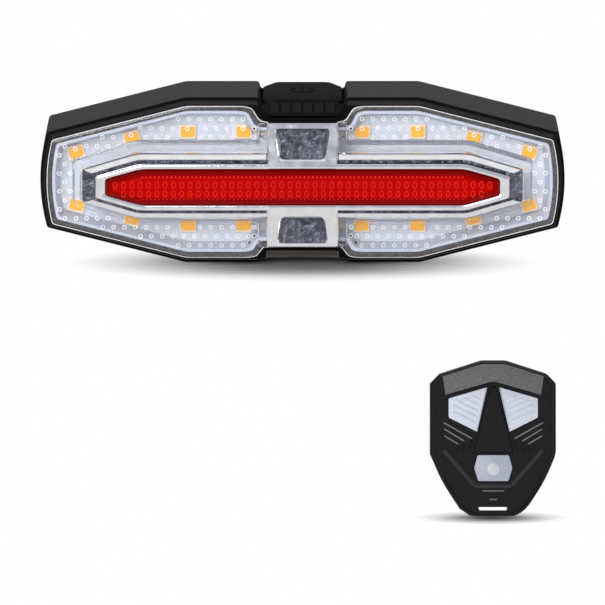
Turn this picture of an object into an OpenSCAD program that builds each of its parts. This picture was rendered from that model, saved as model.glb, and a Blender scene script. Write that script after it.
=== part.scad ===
// Bicycle tail light with turn signals, and its handlebar remote.
// The origin is on the seat post's axis, half way up the saddle at the back of the light.
// +Z is up and the lens faces -Y. Depths are distances forward of the origin, towards the lens.

/* [Light outline] */
// Width across the rounded ends
light_w = 110; // [100:1:130]
// Height between the level edges
light_h = 35; // [33:0.5:42]
// Length of the level top and bottom edges
level_len = 49.2; // [42:0.2:56]
// Height of the ends, where the slopes stop
end_h = 20.2; // [17:0.2:24]
// Radius of the rounded ends
end_r = 37; // [30:1:60]

/* [Housing] */
// Side wall of the rear housing
housing_wall = 2; // [1.6:0.1:2.4]
// Thickness of the housing's back
housing_floor = 2.2; // [2:0.1:3]
// Radius of the screw bosses on the housing's back
boss_r = 2.2; // [2:0.1:2.6]
// Thickness of the gasket between the housing and the bezel
gasket_t = 0.6; // [0.4:0.1:1]
// Depth of the bezel in front of the gasket
bezel_depth = 2.5; // [2:0.1:4]
// How far the bezel's front edge leans in
bezel_lean = 1.3; // [0.8:0.1:1.4]
// Thickness of the ledge that carries the lens
ledge_t = 0.9; // [0.7:0.1:1.4]

/* [Clear lens] */
// Thickness of the lens plate
lens_t = 1.8; // [1.4:0.1:2.6]
// Distance from the light's edge to the lens's edge
lens_inset = 1.4; // [1.3:0.1:2]
// Rise of the platform round the chrome trim
platform_rise = 2; // [1:0.1:3]
// Width of the platform's border round the chrome trim
platform_border = 1.5; // [1:0.1:2.4]
// Half width of the lens's upper notch at the lens's edge
upper_notch_x = 11.7; // [11:0.1:13]
// Half width of the lens's lower notch at the lens's edge
lower_notch_x = 10.9; // [10:0.1:12.5]

/* [Chrome trim and red bar] */
// Length of the chrome trim's level edges
chrome_level_len = 69.2; // [60:0.2:76]
// Height of the chrome trim
chrome_h = 13.5; // [12:0.1:15]
// Height of the chrome trim's ends
chrome_end_h = 6.6; // [5:0.1:8]
// Distance from the light's end to the chrome trim's end
chrome_end_gap = 8.8; // [8:0.1:12]
// Rise of the chrome trim over the platform
chrome_rise = 2.5; // [1.5:0.1:4]
// Width of the chrome boxes over and under the red bar
box_w = 14.8; // [13:0.1:16]
// How far a chrome box's front falls back at its outer end
box_fall = 1.9; // [0.5:0.1:2.5]
// Wall of the chrome boxes round their pockets
box_wall = 1.5; // [1:0.1:2]
// Depth of the pockets in the chrome boxes
pocket_depth = 2.4; // [1:0.1:2.8]
// Length of the red bar's level edges
red_level_len = 67.4; // [58:0.2:72]
// Height of the red bar
red_h = 7.1; // [6:0.1:8]
// Height of the red bar's ends
red_end_h = 3; // [2:0.1:4]
// Distance from the light's end to the red bar's end
red_end_gap = 13.7; // [13:0.1:17]
// Rise of the red bar over the chrome trim
red_rise = 1; // [0.5:0.1:2]
// Width of the bevel round the red bar's front
red_bevel = 1.4; // [0.8:0.1:1.4]

/* [LEDs] */
// Length of an LED package
led_len = 3.5; // [3:0.1:3.6]
// Height of an LED package
led_h = 2.8; // [2:0.1:3]
// Thickness of an LED package
led_t = 0.7; // [0.5:0.1:1]
// Distance from the middle of the light to the first amber LED
led_first_x = 12.4; // [12.2:0.1:14]
// Distance from the light's end to the last amber LED
led_end_gap = 7.5; // [7:0.1:9]
// Distance from the level edges to the amber LEDs there
led_level_gap = 7.6; // [7:0.1:9]
// Distance from the sloping edges to the amber LEDs there
led_slope_gap = 6.1; // [5.6:0.1:7]
// Number of red LEDs behind the red bar
red_led_count = 8; // [4:2:10]
// Distance between neighbouring red LEDs
red_led_pitch = 7.4; // [7:0.1:8]

/* [Power button] */
// Width of the rubber button
button_w = 16.4; // [14:0.1:18]
// Width of the button's flat top
button_top_w = 11; // [9:0.1:13]
// Drop of the sloping shoulders of the button
button_shoulder = 0.9; // [0.5:0.1:1.4]
// Height of the button
button_h = 2.9; // [2.4:0.1:3.4]
// Travel of the button
button_travel = 0.8; // [0.4:0.1:1.2]
// Gap between the button and its recess
button_gap = 0.3; // [0.3:0.05:0.5]
// Wall under and beside the button's recess
recess_wall = 1.6; // [1.2:0.1:2]
// Number of ribs on the button's front
rib_count = 7; // [3:2:9]
// Diameter of the switch's plunger
plunger_d = 2.4; // [2:0.1:3]

/* [Charging port] */
// Width of the port's metal shell
port_w = 9; // [8.8:0.1:9.4]
// Depth of the port's metal shell
port_t = 3.2; // [3.1:0.1:3.4]
// Height of the port's metal shell
port_h = 7.3; // [6.5:0.1:9]
// Wall of the port's metal shell
port_wall = 0.3; // [0.2:0.05:0.4]
// Width of the rubber cover
cover_w = 14.4; // [13:0.1:15]
// Thickness of the rubber cover
cover_t = 1.1; // [0.9:0.1:1.4]
// Height of the cover's face over the light's lower edge
cover_rise = 1.6; // [1:0.1:2]
// Half width of the slanted mouth of the cover's recess
mouth_x = 9.8; // [9:0.1:11]

/* [Boards and battery] */
// Thickness of the LED board
led_board_t = 1.2; // [1:0.1:1.6]
// Distance from the housing's front to the LED board
led_set = 2.8; // [2.4:0.1:3.6]
// Gap between the LED board's edge and the housing's wall
board_gap = 1.4; // [1.2:0.1:2]
// Thickness of the main board
main_board_t = 1; // [0.8:0.1:1.6]
// How far the main board reaches beyond each end of the battery
board_margin = 5.5; // [5:0.1:6]
// Room between the main board and the LED board
parts_room = 3.8; // [3.7:0.1:6]
// Length of the battery
battery_len = 41; // [34:0.5:42]
// Height of the battery
battery_h = 18; // [14:0.5:19]
// Thickness of the battery
battery_t = 7.8; // [5:0.1:12]
// Thickness of the battery's foam pad
battery_pad_t = 0.8; // [0.5:0.1:1.5]
// Room between the battery and the main board
battery_room = 0.4; // [0.3:0.1:1]

/* [Seat post saddle] */
// Diameter of the seat post
post_d = 27.2; // [25:0.1:31.8]
// Thickness of the rubber pad
pad_t = 2; // [1.5:0.1:3]
// Height of the saddle
saddle_h = 20; // [16:0.5:26]
// Half angle of the saddle round the post
saddle_angle = 62; // [58:1:66]
// Thickness of the bracket between the pad and the housing
bracket_web = 3.4; // [3:0.1:5]
// Wall of the bracket beyond the pad
bracket_wall = 1.4; // [1:0.1:2.4]
// Reach of the strap hooks beyond the bracket
hook_reach = 4; // [3:0.1:6]
// Distance of each bracket screw from the middle
bracket_screw_x = 11; // [9:0.1:12]

/* [Remote outline] */
// Width of the remote
remote_w = 25.6; // [25:0.1:30]
// Height of the remote
remote_h = 31.8; // [31:0.1:36]
// Width of the level top edge
crown_w = 5; // [3:0.1:8]
// Drop from the top edge to the shoulders
crown_drop = 2.7; // [2:0.1:4]
// Width across the shoulders
shoulder_w = 21.7; // [20:0.1:23]
// Drop from the top edge to the sides
side_drop = 4.7; // [4:0.1:6]
// Height where the sides turn in
waist_z = 12.6; // [11.5:0.1:14]
// Height of the knees below the waist
knee_z = 7.1; // [6:0.1:8]
// Width across the knees
knee_w = 20.4; // [20:0.1:22]
// Height of the lower corners
ankle_z = 1.4; // [1:0.1:2]
// Width across the lower corners
ankle_w = 13.4; // [12:0.1:15]
// Width of the level bottom edge
foot_w = 9.1; // [8:0.1:11]
// Side wall of the remote
remote_wall = 1.4; // [1.2:0.1:1.8]
// Front wall of the remote
remote_front_wall = 1.5; // [1.2:0.1:2]
// Bevel round the remote's front
remote_bevel = 1.2; // [0.8:0.1:1.2]

/* [Remote buttons] */
// Travel of the remote's buttons
tap_travel = 0.4; // [0.2:0.05:0.4]
// How far the buttons stand out
tap_proud = 0.5; // [0.3:0.1:1]
// Gap between a button and its hole
tap_gap = 0.3; // [0.25:0.05:0.4]
// Width of the rim that keeps a button in its hole
tap_rim = 0.6; // [0.5:0.05:0.7]
// Thickness of that rim
tap_rim_t = 0.7; // [0.5:0.05:1]
// Drop from the top edge to the turn buttons' upper points
turn_apex_drop = 5.5; // [5.3:0.1:6.5]
// Half distance between the turn buttons' upper points
turn_apex_x = 1.2; // [1.2:0.1:1.6]
// Height of the turn buttons
turn_h = 9.1; // [8:0.1:9.4]
// Height of the turn buttons' outer sides
turn_side_h = 3.9; // [3:0.1:4.5]
// Slope from the turn buttons' upper points to their outer sides
turn_slope_drop = 2.3; // [1.8:0.1:3]
// Distance from the remote's side to the turn buttons
turn_side_gap = 3.7; // [3.5:0.1:4.5]
// Half distance between the turn buttons' lower points
turn_foot_x = 3.3; // [3:0.1:4]
// Height of the mode button's middle
mode_z = 9.8; // [9.6:0.1:10.2]
// Width of the mode button
mode_w = 7.8; // [7:0.1:8.4]
// Height of the mode button
mode_h = 5.3; // [4.5:0.1:5.6]

/* [Remote inside] */
// Diameter of the coin cell
cell_d = 20; // [16:0.5:20]
// Thickness of the coin cell
cell_t = 3.2; // [1.6:0.1:3.2]
// Thickness of the battery door
door_t = 1.5; // [1.2:0.1:2]
// How far the door is wider than the coin cell
door_margin = 0.6; // [0.4:0.1:0.8]
// Reach of the door's lugs
lug_reach = 0.6; // [0.4:0.1:0.6]
// Thickness of the remote's board
remote_board_t = 1; // [0.8:0.1:1.2]
// Room for the battery contacts
contact_room = 0.3; // [0.3:0.05:0.6]
// Height of the tact switches
tact_h = 1.4; // [1.2:0.1:2]
// Width of the strap slot
slot_w = 6; // [4:0.1:7]
// Height of the strap slot
slot_h = 0.9; // [0.7:0.05:1]

/* [Remote place] */
// Distance of the remote's middle to the right of the light's
remote_x = 38.9; // [20:0.1:60]
// Distance of the remote's back forward of the origin
remote_back = 84; // [74:0.5:120]
// Depth of the remote's lower edge below the origin
remote_below = 62.6; // [55:0.1:90]
// Angle that the remote leans back, in degrees
remote_lean = 11; // [0:1:20]

/* [Hidden] */
$fn = 64;
// Seam left between pieces that are bonded or pressed together
seam = 0.1;
// Overlength of cutting shapes
over = 1;
// Points along each rounded end
end_steps = 12;
// Steps in the bezel's leaning front edge
lean_steps = 3;

// Forward distances, from the post to the front of the red bar
post_r = post_d / 2;
pad_out = post_r + pad_t;
housing_back = pad_out + bracket_web;
inside_back = housing_back + housing_floor;
battery_back = inside_back + battery_pad_t;
main_board_back = battery_back + battery_t + battery_room;
main_board_front = main_board_back + main_board_t;
led_board_back = main_board_front + parts_room;
led_board_front = led_board_back + led_board_t;
rim = led_board_front + led_set;
bezel_back = rim + gasket_t;
bezel_front = bezel_back + bezel_depth;
lens_back = bezel_back + ledge_t;
lens_front = lens_back + lens_t;
platform_front = lens_front + platform_rise;
chrome_front = platform_front + chrome_rise;
red_front = chrome_front + red_rise;

// Slope of the light's edges, and the circle of its ends
top_z = light_h / 2;
level_x = level_len / 2;
end_centre = light_w / 2 - end_r;
end_x = end_centre + sqrt(pow(end_r, 2) - pow(end_h / 2, 2));
slope = atan((top_z - end_h / 2) / (end_x - level_x));
slope_reach = level_x * sin(slope) + top_z * cos(slope);

// The button's recess in the top edge, and the cover's recess in the lower edge
button_x = button_w / 2;
button_z = top_z - button_h;
recess_x = button_x + button_gap;
recess_floor = button_z - button_travel - button_gap / 2;
recess_under = recess_floor - recess_wall;
button_back = housing_back + housing_floor;
button_front = bezel_front + 0.3;
web = 0.9;
upper_notch_z = recess_floor - web;
cover_face = -top_z + cover_rise;
cover_gap = 0.3;
cover_x = cover_w / 2;
cover_top = cover_face + cover_t;
cover_recess_top = cover_top + cover_gap;
cover_over = cover_recess_top + recess_wall;
cover_axis_z = cover_face + cover_t / 2;
cover_axis_depth = housing_back + 5.2;
cover_front = bezel_front - 0.4;
lower_notch_z = cover_recess_top + web;
notch_slant = 3;

// The switch under the button, and the charging port over the cover
switch_w = 6;
switch_t = 3.4;
switch_h = 3.4;
switch_top = recess_under - 3.6;
switch_depth = main_board_front + switch_t / 2;
plunger_gap = 0.2;
port_gap = 0.3;
port_bottom = cover_recess_top + 0.2;
port_depth = main_board_front + port_t / 2;

// The boards, their screws and the battery
board_top = switch_top + 0.1;
board_bottom = cover_over + 0.2;
battery_z = (board_top + board_bottom) / 2;
main_board_w = battery_len + 2 * board_margin;
pillar_room = 1;
pillar_x = battery_len / 2 + boss_r + pillar_room;
pillar_z = 6;
led_screw_out = light_w / 2 - 10.8;
boss_room = 1.6;
screw_room = 0.35;
screw_d = 2;
screw_hole = screw_d + 0.1;
screw_head_d = 3.6;
screw_head_t = 1.2;
screw_bite = 4;
// The inner screws of the LED board clear both the red LEDs and the main board
red_row_x = (red_led_count - 1) / 2 * red_led_pitch + led_len / 2;
led_screw_in = max(red_row_x + screw_head_d / 2 + screw_room, main_board_w / 2 + boss_r + boss_room);

// The chrome trim, its boxes and the red bar
chrome_x = light_w / 2 - chrome_end_gap;
red_x = light_w / 2 - red_end_gap;
flange = 1;
flange_back = lens_back - flange;
box_top = upper_notch_z - 0.4;
box_bottom = lower_notch_z + 0.4;
strip_w = 1.6;

// The remote's layers, forward of its back
remote_side_x = remote_w / 2;
cell_back = door_t + 0.2;
board_seat = cell_back + cell_t + contact_room;
board_face = board_seat + remote_board_t;
tact_face = board_face + tact_h;
tap_back = tact_face + tap_travel + 0.1;
wall_back = tap_back + tap_rim_t + 0.1;
remote_t = wall_back + remote_front_wall;
remote_split = board_face - remote_board_t / 2;
tap_front = remote_t + tap_proud;
door_r = cell_d / 2 + door_margin;
door_gap = 0.3;
slot_z = 0.9;
remote_screw_d = 1.6;
remote_head_d = 2.8;
remote_head_t = 0.7;
remote_boss_r = 1.5;
screw_corner = 2.9;
lower_screw_z = slot_z + slot_h + remote_boss_r + 0.5;
cell_z = lower_screw_z + remote_head_d / 2 + door_gap + door_r;
tact_w = 3.2;
tact_stem_d = 1.8;
stem_gap = 0.15;
turn_x = (turn_apex_x + remote_side_x - turn_side_gap) / 2;
turn_z = remote_h - turn_apex_drop - turn_h / 2;
stroke_w = 0.45;
groove_depth = 0.4;

// Helpers

// Points of the right half, from top to bottom, and their mirror images
function both_sides(points) = concat(points, [
  for (i = [len(points) - 1 : -1 : 0]) [-points[i].x, points[i].y]
]);

// A convex outline, given clockwise, drawn in by a distance
function inset(points, distance) = [
  for (i = [0 : len(points) - 1])
    let (
      n = len(points),
      before = points[(i + n - 1) % n],
      after = points[(i + 1) % n],
      u = (points[i] - before) / norm(points[i] - before),
      v = (after - points[i]) / norm(after - points[i]),
      in_u = [u.y, -u.x],
      in_v = [v.y, -v.x]
    )
    points[i] + distance * (in_u + in_v) / (1 + in_u * in_v)
];

// An elongated hexagon with level edges, sloping corners and flat ends
function long_hexagon(level, height, length, end) = both_sides([
  [level / 2, height / 2], [length / 2, end / 2], [length / 2, -end / 2], [level / 2, -height / 2]
]);

// The light's outline, drawn in by a distance: the slopes run on until they meet the smaller end arcs
function light_outline(distance) =
  let (
    arc_r = end_r - distance,
    corner = [level_x - distance * tan(slope / 2), top_z - distance],
    arc_angle = asin((slope_reach - distance - end_centre * sin(slope)) / arc_r) - slope
  )
  both_sides(concat(
    [corner],
    [for (i = [0 : end_steps])
      let (a = arc_angle * (1 - 2 * i / end_steps))
      [end_centre + arc_r * cos(a), arc_r * sin(a)]],
    [[corner.x, -corner.y]]
  ));

// Height of the light's upper edge
function edge_z(x) = top_z - max(0, x - level_x) * tan(slope);

function chrome_outline() = long_hexagon(chrome_level_len, chrome_h, 2 * chrome_x, chrome_end_h);
function red_outline() = long_hexagon(red_level_len, red_h, 2 * red_x, red_end_h);

// A flat shape in X and Z, given its depth along -Y
module slab(back, front) {
  translate([0, -back, 0]) rotate([90, 0, 0]) linear_extrude(front - back) children();
}

// A round bar along Y
module bar(x, z, back, front, d) {
  translate([x, -back, z]) rotate([90, 0, 0]) cylinder(d = d, h = front - back);
}

// A round bar along Y that narrows from one diameter to the other
module cone(x, z, back, front, d_back, d_front) {
  translate([x, -back, z]) rotate([90, 0, 0]) cylinder(d1 = d_back, d2 = d_front, h = front - back);
}

// A line drawn through points with a given width
module stroke(points, width) {
  for (i = [0 : len(points) - 2]) {
    run = points[i + 1] - points[i];
    translate((points[i] + points[i + 1]) / 2)
      rotate(atan2(run.y, run.x))
        square([norm(run) + width / 2, width], center = true);
  }
}

// A slot shape with round ends
module stadium(width, thickness) {
  square([width - thickness, thickness], center = true);
  for (side = [-1, 1]) translate([side * (width - thickness) / 2, 0]) circle(d = thickness);
}

// Shapes that several pieces share

// Opening in the top edge that the button moves in
module button_recess() {
  polygon([
    [recess_x, recess_floor], [recess_x, top_z - button_shoulder],
    [recess_x + button_shoulder, top_z], [recess_x + button_shoulder, top_z + over],
    [-recess_x - button_shoulder, top_z + over], [-recess_x - button_shoulder, top_z],
    [-recess_x, top_z - button_shoulder], [-recess_x, recess_floor]
  ]);
}

// Opening in the lower edge that the cover lies in
module cover_recess() {
  polygon([
    [cover_x + cover_gap, cover_recess_top], [cover_x + cover_gap, cover_face],
    [mouth_x, -top_z], [mouth_x, -top_z - over], [-mouth_x, -top_z - over], [-mouth_x, -top_z],
    [-cover_x - cover_gap, cover_face], [-cover_x - cover_gap, cover_recess_top]
  ]);
}

// The two notches in the lens, grown by a distance
module lens_notches(grow) {
  upper_foot = upper_notch_x - notch_slant + grow;
  lower_foot = lower_notch_x - notch_slant + grow;
  polygon([
    [upper_notch_x + grow, top_z], [upper_foot, upper_notch_z - grow],
    [-upper_foot, upper_notch_z - grow], [-upper_notch_x - grow, top_z]
  ]);
  polygon([
    [lower_notch_x + grow, -top_z], [lower_foot, lower_notch_z + grow],
    [-lower_foot, lower_notch_z + grow], [-lower_notch_x - grow, -top_z]
  ]);
}

// The lens's outline, drawn in by a distance
module lens_shape(distance) {
  difference() {
    polygon(light_outline(lens_inset + distance));
    lens_notches(distance);
  }
}

// The chrome trim's outline, grown by a distance
module chrome_shape(grow) {
  polygon(inset(chrome_outline(), -grow));
  translate([-box_w / 2 - grow, box_bottom - grow])
    square([box_w + 2 * grow, box_top - box_bottom + 2 * grow]);
}

// Places of the screws that hold the LED board, and of those that hold the main board
module led_screw_places() {
  for (x = [-led_screw_out, -led_screw_in, led_screw_in, led_screw_out]) translate([x, 0, 0]) children();
}

module main_screw_places() {
  for (x = [-pillar_x, pillar_x], z = [-pillar_z, pillar_z]) translate([x, 0, battery_z + z]) children();
}

// A pan head screw whose head lies on a face and whose shank goes back from it
module board_screw(face) {
  bar(0, 0, face, face + screw_head_t, screw_head_d);
  bar(0, 0, face - screw_bite, face, screw_d);
}

// The light

module rear_housing() {
  color("#2b2a2c") difference() {
    union() {
      difference() {
        slab(housing_back, rim) polygon(light_outline(0));
        slab(inside_back, rim + over) polygon(light_outline(housing_wall));
      }
      slab(inside_back - over, rim) recess_blocks(0, top_z - housing_wall / 2);
      led_screw_places() bar(0, 0, inside_back - over, led_board_back, 2 * boss_r);
      main_screw_places() bar(0, 0, inside_back - over, main_board_back, 2 * boss_r);
    }
    slab(button_back - button_gap, rim + over) button_recess();
    slab(cover_axis_depth - cover_t / 2 - cover_gap, rim + over) cover_recess();
    translate([0, -switch_depth, recess_under - over])
      cylinder(d = plunger_d + 4 * plunger_gap, h = recess_wall + 2 * over);
    translate([0, -port_depth, cover_recess_top - over])
      linear_extrude(recess_wall + 2 * over) stadium(port_w + 2 * port_gap, port_t + 2 * port_gap);
    led_screw_places() bar(0, 0, led_board_front - screw_bite - over, led_board_back + over, screw_hole);
    main_screw_places() bar(0, 0, main_board_front - screw_bite - over, main_board_back + over, screw_hole);
    for (side = [-1, 1]) bracket_screw(side, seam / 2);
  }
}

module lens_gasket() {
  color("#141415") slab(rim, bezel_back) difference() {
    polygon(light_outline(bezel_lean / 2));
    polygon(light_outline(housing_wall));
    recess_blocks(0, top_z + over);
  }
}

// Blocks round the two recesses, grown by a gap, that reach out to a height
module recess_blocks(gap, reach) {
  upper_x = recess_x + recess_wall + gap;
  lower_x = mouth_x + recess_wall + gap;
  translate([-upper_x, recess_under - gap]) square([2 * upper_x, reach - recess_under + gap]);
  translate([-lower_x, -reach]) square([2 * lower_x, reach + cover_over + gap]);
}

// One layer of the bezel, drawn in at its outer edge
module bezel_layer(back, front, lean, lens_gap) {
  slab(back, front) difference() {
    polygon(light_outline(lean));
    lens_shape(lens_gap);
    button_recess();
    cover_recess();
  }
}

// The bezel leans in towards its front in steps, over a ledge and a skirt inside the housing
module front_bezel() {
  skirt_out = housing_wall + seam;
  skirt_in = skirt_out + 1;
  ledge_w = skirt_in - lens_inset + seam;
  step_t = (bezel_front - lens_back) / lean_steps;
  color("#343335") {
    slab(rim - led_set / 2, bezel_back + ledge_t / 2) difference() {
      polygon(light_outline(skirt_out));
      polygon(light_outline(skirt_in));
      recess_blocks(seam, top_z + over);
    }
    bezel_layer(bezel_back, lens_back, 0, ledge_w);
    for (i = [0 : lean_steps - 1])
      bezel_layer(lens_back + i * step_t, lens_back + (i + 1) * step_t, bezel_lean * (i + 0.5) / lean_steps, 0);
  }
}

module clear_lens() {
  strip_x = box_w / 2 + strip_w;
  color("#d8dce8", 0.55) difference() {
    union() {
      slab(lens_back, lens_front) lens_shape(seam);
      slab(lens_front - seam, platform_front) intersection() {
        lens_shape(strip_w);
        union() {
          polygon(inset(chrome_outline(), -platform_border));
          translate([-strip_x, -top_z]) square([2 * strip_x, light_h]);
        }
      }
    }
    slab(lens_back - over, platform_front + over) chrome_shape(seam);
  }
}

module chrome_trim() {
  box_back = lens_back;
  color("#e6e6ea") difference() {
    union() {
      slab(flange_back, lens_back) polygon(inset(chrome_outline(), -flange));
      slab(lens_back - seam, chrome_front) polygon(chrome_outline());
      for (end = [[box_top, chrome_h / 2 - 1], [box_bottom, 1 - chrome_h / 2]])
        chrome_box(end[0], end[1], box_back);
    }
    slab(flange_back - over, chrome_front + over) polygon(inset(red_outline(), -seam));
    for (end = [[box_top, red_h / 2], [box_bottom, -red_h / 2]]) box_pocket(end[0], end[1]);
  }
}

// A box whose front falls back from the red bar to its outer end
module chrome_box(outer_z, inner_z, back) {
  rotate([0, -90, 0]) translate([0, 0, -box_w / 2]) linear_extrude(box_w) polygon([
    [inner_z, -back], [outer_z, -back], [outer_z, -chrome_front + box_fall], [inner_z, -chrome_front]
  ]);
}

module box_pocket(outer_z, inner_z) {
  side = sign(outer_z);
  near = inner_z + side * box_wall;
  far = outer_z - side * box_wall;
  slab(chrome_front - pocket_depth - box_fall / 2, chrome_front + over)
    translate([-box_w / 2 + box_wall, min(near, far)])
      square([box_w - 2 * box_wall, abs(far - near)]);
}

module red_lens() {
  color("#c81010") {
    slab(flange_back - flange, flange_back) polygon(inset(red_outline(), -flange));
    hull() {
      slab(flange_back, chrome_front) polygon(red_outline());
      slab(red_front - seam, red_front) polygon(inset(red_outline(), red_bevel));
    }
  }
}

module led_board() {
  color("#eceef2") difference() {
    slab(led_board_back, led_board_front) difference() {
      polygon(light_outline(housing_wall + board_gap));
      recess_blocks(seam, top_z + over);
    }
    led_screw_places() bar(0, 0, led_board_back - over, led_board_front + over, screw_hole);
  }
}

// The amber LEDs of one side, which follow the light's edges
module amber_leds(side) {
  last_x = light_w / 2 - led_end_gap;
  count = 4;
  for (i = [0 : count - 1], end = [-1, 1]) {
    x = led_first_x + (last_x - led_first_x) * i / (count - 1);
    on_slope = x > level_x + led_len;
    z = edge_z(x) - (on_slope ? led_slope_gap : led_level_gap);
    slab(led_board_front, led_board_front + led_t)
      translate([side * x, end * z])
        rotate(on_slope ? -side * end * slope : 0)
          square([led_len, led_h], center = true);
  }
}

module amber_leds_left() {
  color("#f5a818") amber_leds(-1);
}

module amber_leds_right() {
  color("#f5a818") amber_leds(1);
}

module red_leds() {
  color("#e04030") slab(led_board_front, led_board_front + led_t)
    for (i = [0 : red_led_count - 1])
      translate([(i - (red_led_count - 1) / 2) * red_led_pitch, 0])
        square([led_len, led_h], center = true);
}

module board_screws() {
  color("silver") {
    led_screw_places() board_screw(led_board_front);
    main_screw_places() board_screw(main_board_front);
  }
}

module main_board() {
  color("#1f5c3a") difference() {
    slab(main_board_back, main_board_front)
      translate([-main_board_w / 2, board_bottom]) square([main_board_w, board_top - board_bottom]);
    main_screw_places() bar(0, 0, main_board_back - over, main_board_front + over, screw_hole);
  }
}

module battery() {
  color("#8f98a3") slab(battery_back, battery_back + battery_t)
    translate([-battery_len / 2, battery_z - battery_h / 2]) square([battery_len, battery_h]);
}

module battery_pad() {
  margin = 2;
  color("#3c3c40") slab(inside_back, battery_back)
    translate([margin - battery_len / 2, battery_z + margin - battery_h / 2])
      square([battery_len - 2 * margin, battery_h - 2 * margin]);
}

module power_switch() {
  color("#26262a") difference() {
    slab(main_board_front, main_board_front + switch_t)
      translate([-switch_w / 2, switch_top - switch_h]) square([switch_w, switch_h]);
    translate([0, -switch_depth, switch_top - switch_h + 0.8])
      cylinder(d = plunger_d + 2 * plunger_gap, h = switch_h);
  }
}

module power_plunger() {
  foot = switch_top - switch_h + 0.8 + button_travel + plunger_gap;
  color("#d6d2c4") translate([0, -switch_depth, foot]) cylinder(d = plunger_d, h = button_z - foot);
}

module power_button() {
  rib_pitch = button_top_w / rib_count;
  rib_out = 0.35;
  chamfer = button_shoulder;
  color("#1d1c1e") difference() {
    union() {
      slab(button_back, button_front) polygon([
        [button_x, button_z], [button_x, top_z - button_shoulder], [button_top_w / 2, top_z],
        [-button_top_w / 2, top_z], [-button_x, top_z - button_shoulder], [-button_x, button_z]
      ]);
      for (i = [0 : rib_count - 1])
        slab(button_front - seam, button_front + rib_out)
          translate([(i - (rib_count - 1) / 2) * rib_pitch * 1.3, (button_z + top_z - chamfer) / 2])
            square([rib_pitch / 2, button_h - chamfer - 0.4], center = true);
    }
    rotate([0, -90, 0]) translate([0, 0, -button_x - over]) linear_extrude(button_w + 2 * over) polygon([
      [top_z - chamfer, -button_front], [top_z + over, -button_front],
      [top_z + over, -button_front + chamfer], [top_z, -button_front + chamfer]
    ]);
  }
}

module usb_port() {
  tongue_w = port_w - 2.3;
  tongue_t = 0.7;
  tongue_set = 1.8;
  color("#c9ccd0") translate([0, -port_depth, port_bottom]) {
    difference() {
      linear_extrude(port_h) stadium(port_w, port_t);
      translate([0, 0, -over])
        linear_extrude(port_h + over - 2 * port_wall) stadium(port_w - 2 * port_wall, port_t - 2 * port_wall);
    }
    translate([-tongue_w / 2, -tongue_t / 2, tongue_set]) cube([tongue_w, tongue_t, port_h - tongue_set]);
  }
}

module usb_cover() {
  plug_w = port_w - 2 * port_wall - 1.2;
  plug_t = port_t - 2 * port_wall - 1;
  plug_rise = 0.8;
  color("#2a2624") {
    translate([-cover_x, -cover_front, cover_face]) cube([cover_w, cover_front - cover_axis_depth, cover_t]);
    translate([-cover_x, -cover_axis_depth, cover_axis_z]) rotate([0, 90, 0]) cylinder(d = cover_t, h = cover_w);
    translate([-plug_w / 2, -port_depth - plug_t / 2, cover_top - seam])
      cube([plug_w, plug_t, port_bottom - cover_top + plug_rise]);
  }
}

// The bracket is an outline seen from above, hollowed round the post
module mount_bracket() {
  tip = pad_out * cos(saddle_angle);
  half_w = pad_out * sin(saddle_angle) + bracket_wall;
  hook_t = 1.6;
  hook_back = housing_back - 2;
  hook_h = saddle_h - 6;
  color("#232225") difference() {
    union() {
      translate([-half_w, -housing_back, -saddle_h / 2]) cube([2 * half_w, housing_back - tip, saddle_h]);
      for (side = [0, 1]) mirror([side, 0, 0])
        translate([0, 0, -hook_h / 2]) linear_extrude(hook_h) polygon([
          [half_w - seam, -hook_back], [half_w + hook_reach, -hook_back],
          [half_w + hook_reach, -hook_back + 2 * hook_t + 2],
          [half_w + hook_reach - hook_t, -hook_back + 2 * hook_t + 2],
          [half_w + hook_reach - hook_t, -hook_back + hook_t], [half_w - seam, -hook_back + hook_t]
        ]);
    }
    translate([0, 0, -saddle_h / 2 - over]) cylinder(r = pad_out + seam, h = saddle_h + 2 * over);
    for (side = [-1, 1]) bracket_screw(side, seam / 2);
  }
}

module mount_pad() {
  color("#3a393b") rotate([0, 0, -90 - saddle_angle]) rotate_extrude(angle = 2 * saddle_angle)
    translate([post_r, -saddle_h / 2]) square([pad_t, saddle_h]);
}

// A countersunk screw through the housing's back into the bracket
module bracket_screw(side, grow) {
  shank_d = 2.5;
  head_d = 4.6;
  head_t = 1.4;
  bite = 5;
  x = side * bracket_screw_x;
  bar(x, 0, inside_back - bite - grow, inside_back + grow, shank_d + 2 * grow);
  cone(x, 0, inside_back - head_t, inside_back + grow, shank_d + 2 * grow, head_d + 2 * grow);
}

module bracket_screws() {
  color("silver") for (side = [-1, 1]) bracket_screw(side, 0);
}

// The remote

module at_remote() {
  translate([remote_x, -remote_back, -remote_below]) rotate([-remote_lean, 0, 0]) children();
}

function remote_outline() = both_sides([
  [crown_w / 2, remote_h], [shoulder_w / 2, remote_h - crown_drop],
  [remote_side_x, remote_h - side_drop], [remote_side_x, waist_z],
  [knee_w / 2, knee_z], [ankle_w / 2, ankle_z], [foot_w / 2, 0]
]);

// The right turn button's outline
function turn_outline() = [
  [turn_apex_x, remote_h - turn_apex_drop],
  [remote_side_x - turn_side_gap, remote_h - turn_apex_drop - turn_slope_drop],
  [remote_side_x - turn_side_gap, remote_h - turn_apex_drop - turn_slope_drop - turn_side_h],
  [turn_foot_x, remote_h - turn_apex_drop - turn_h]
];

function mode_outline() = [for (p = both_sides([
  [mode_w / 2 - 0.7, mode_h / 2], [mode_w / 2, 0], [mode_w / 2 - 0.8, -mode_h / 2]
])) p + [0, mode_z]];

// Places of the remote's screws: one in each upper corner, and one over the strap slot
module remote_screw_places() {
  for (side = [-1, 1])
    translate([side * (remote_side_x - screw_corner), 0, remote_h - side_drop - 0.1]) children();
  translate([0, 0, lower_screw_z]) children();
}

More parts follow.
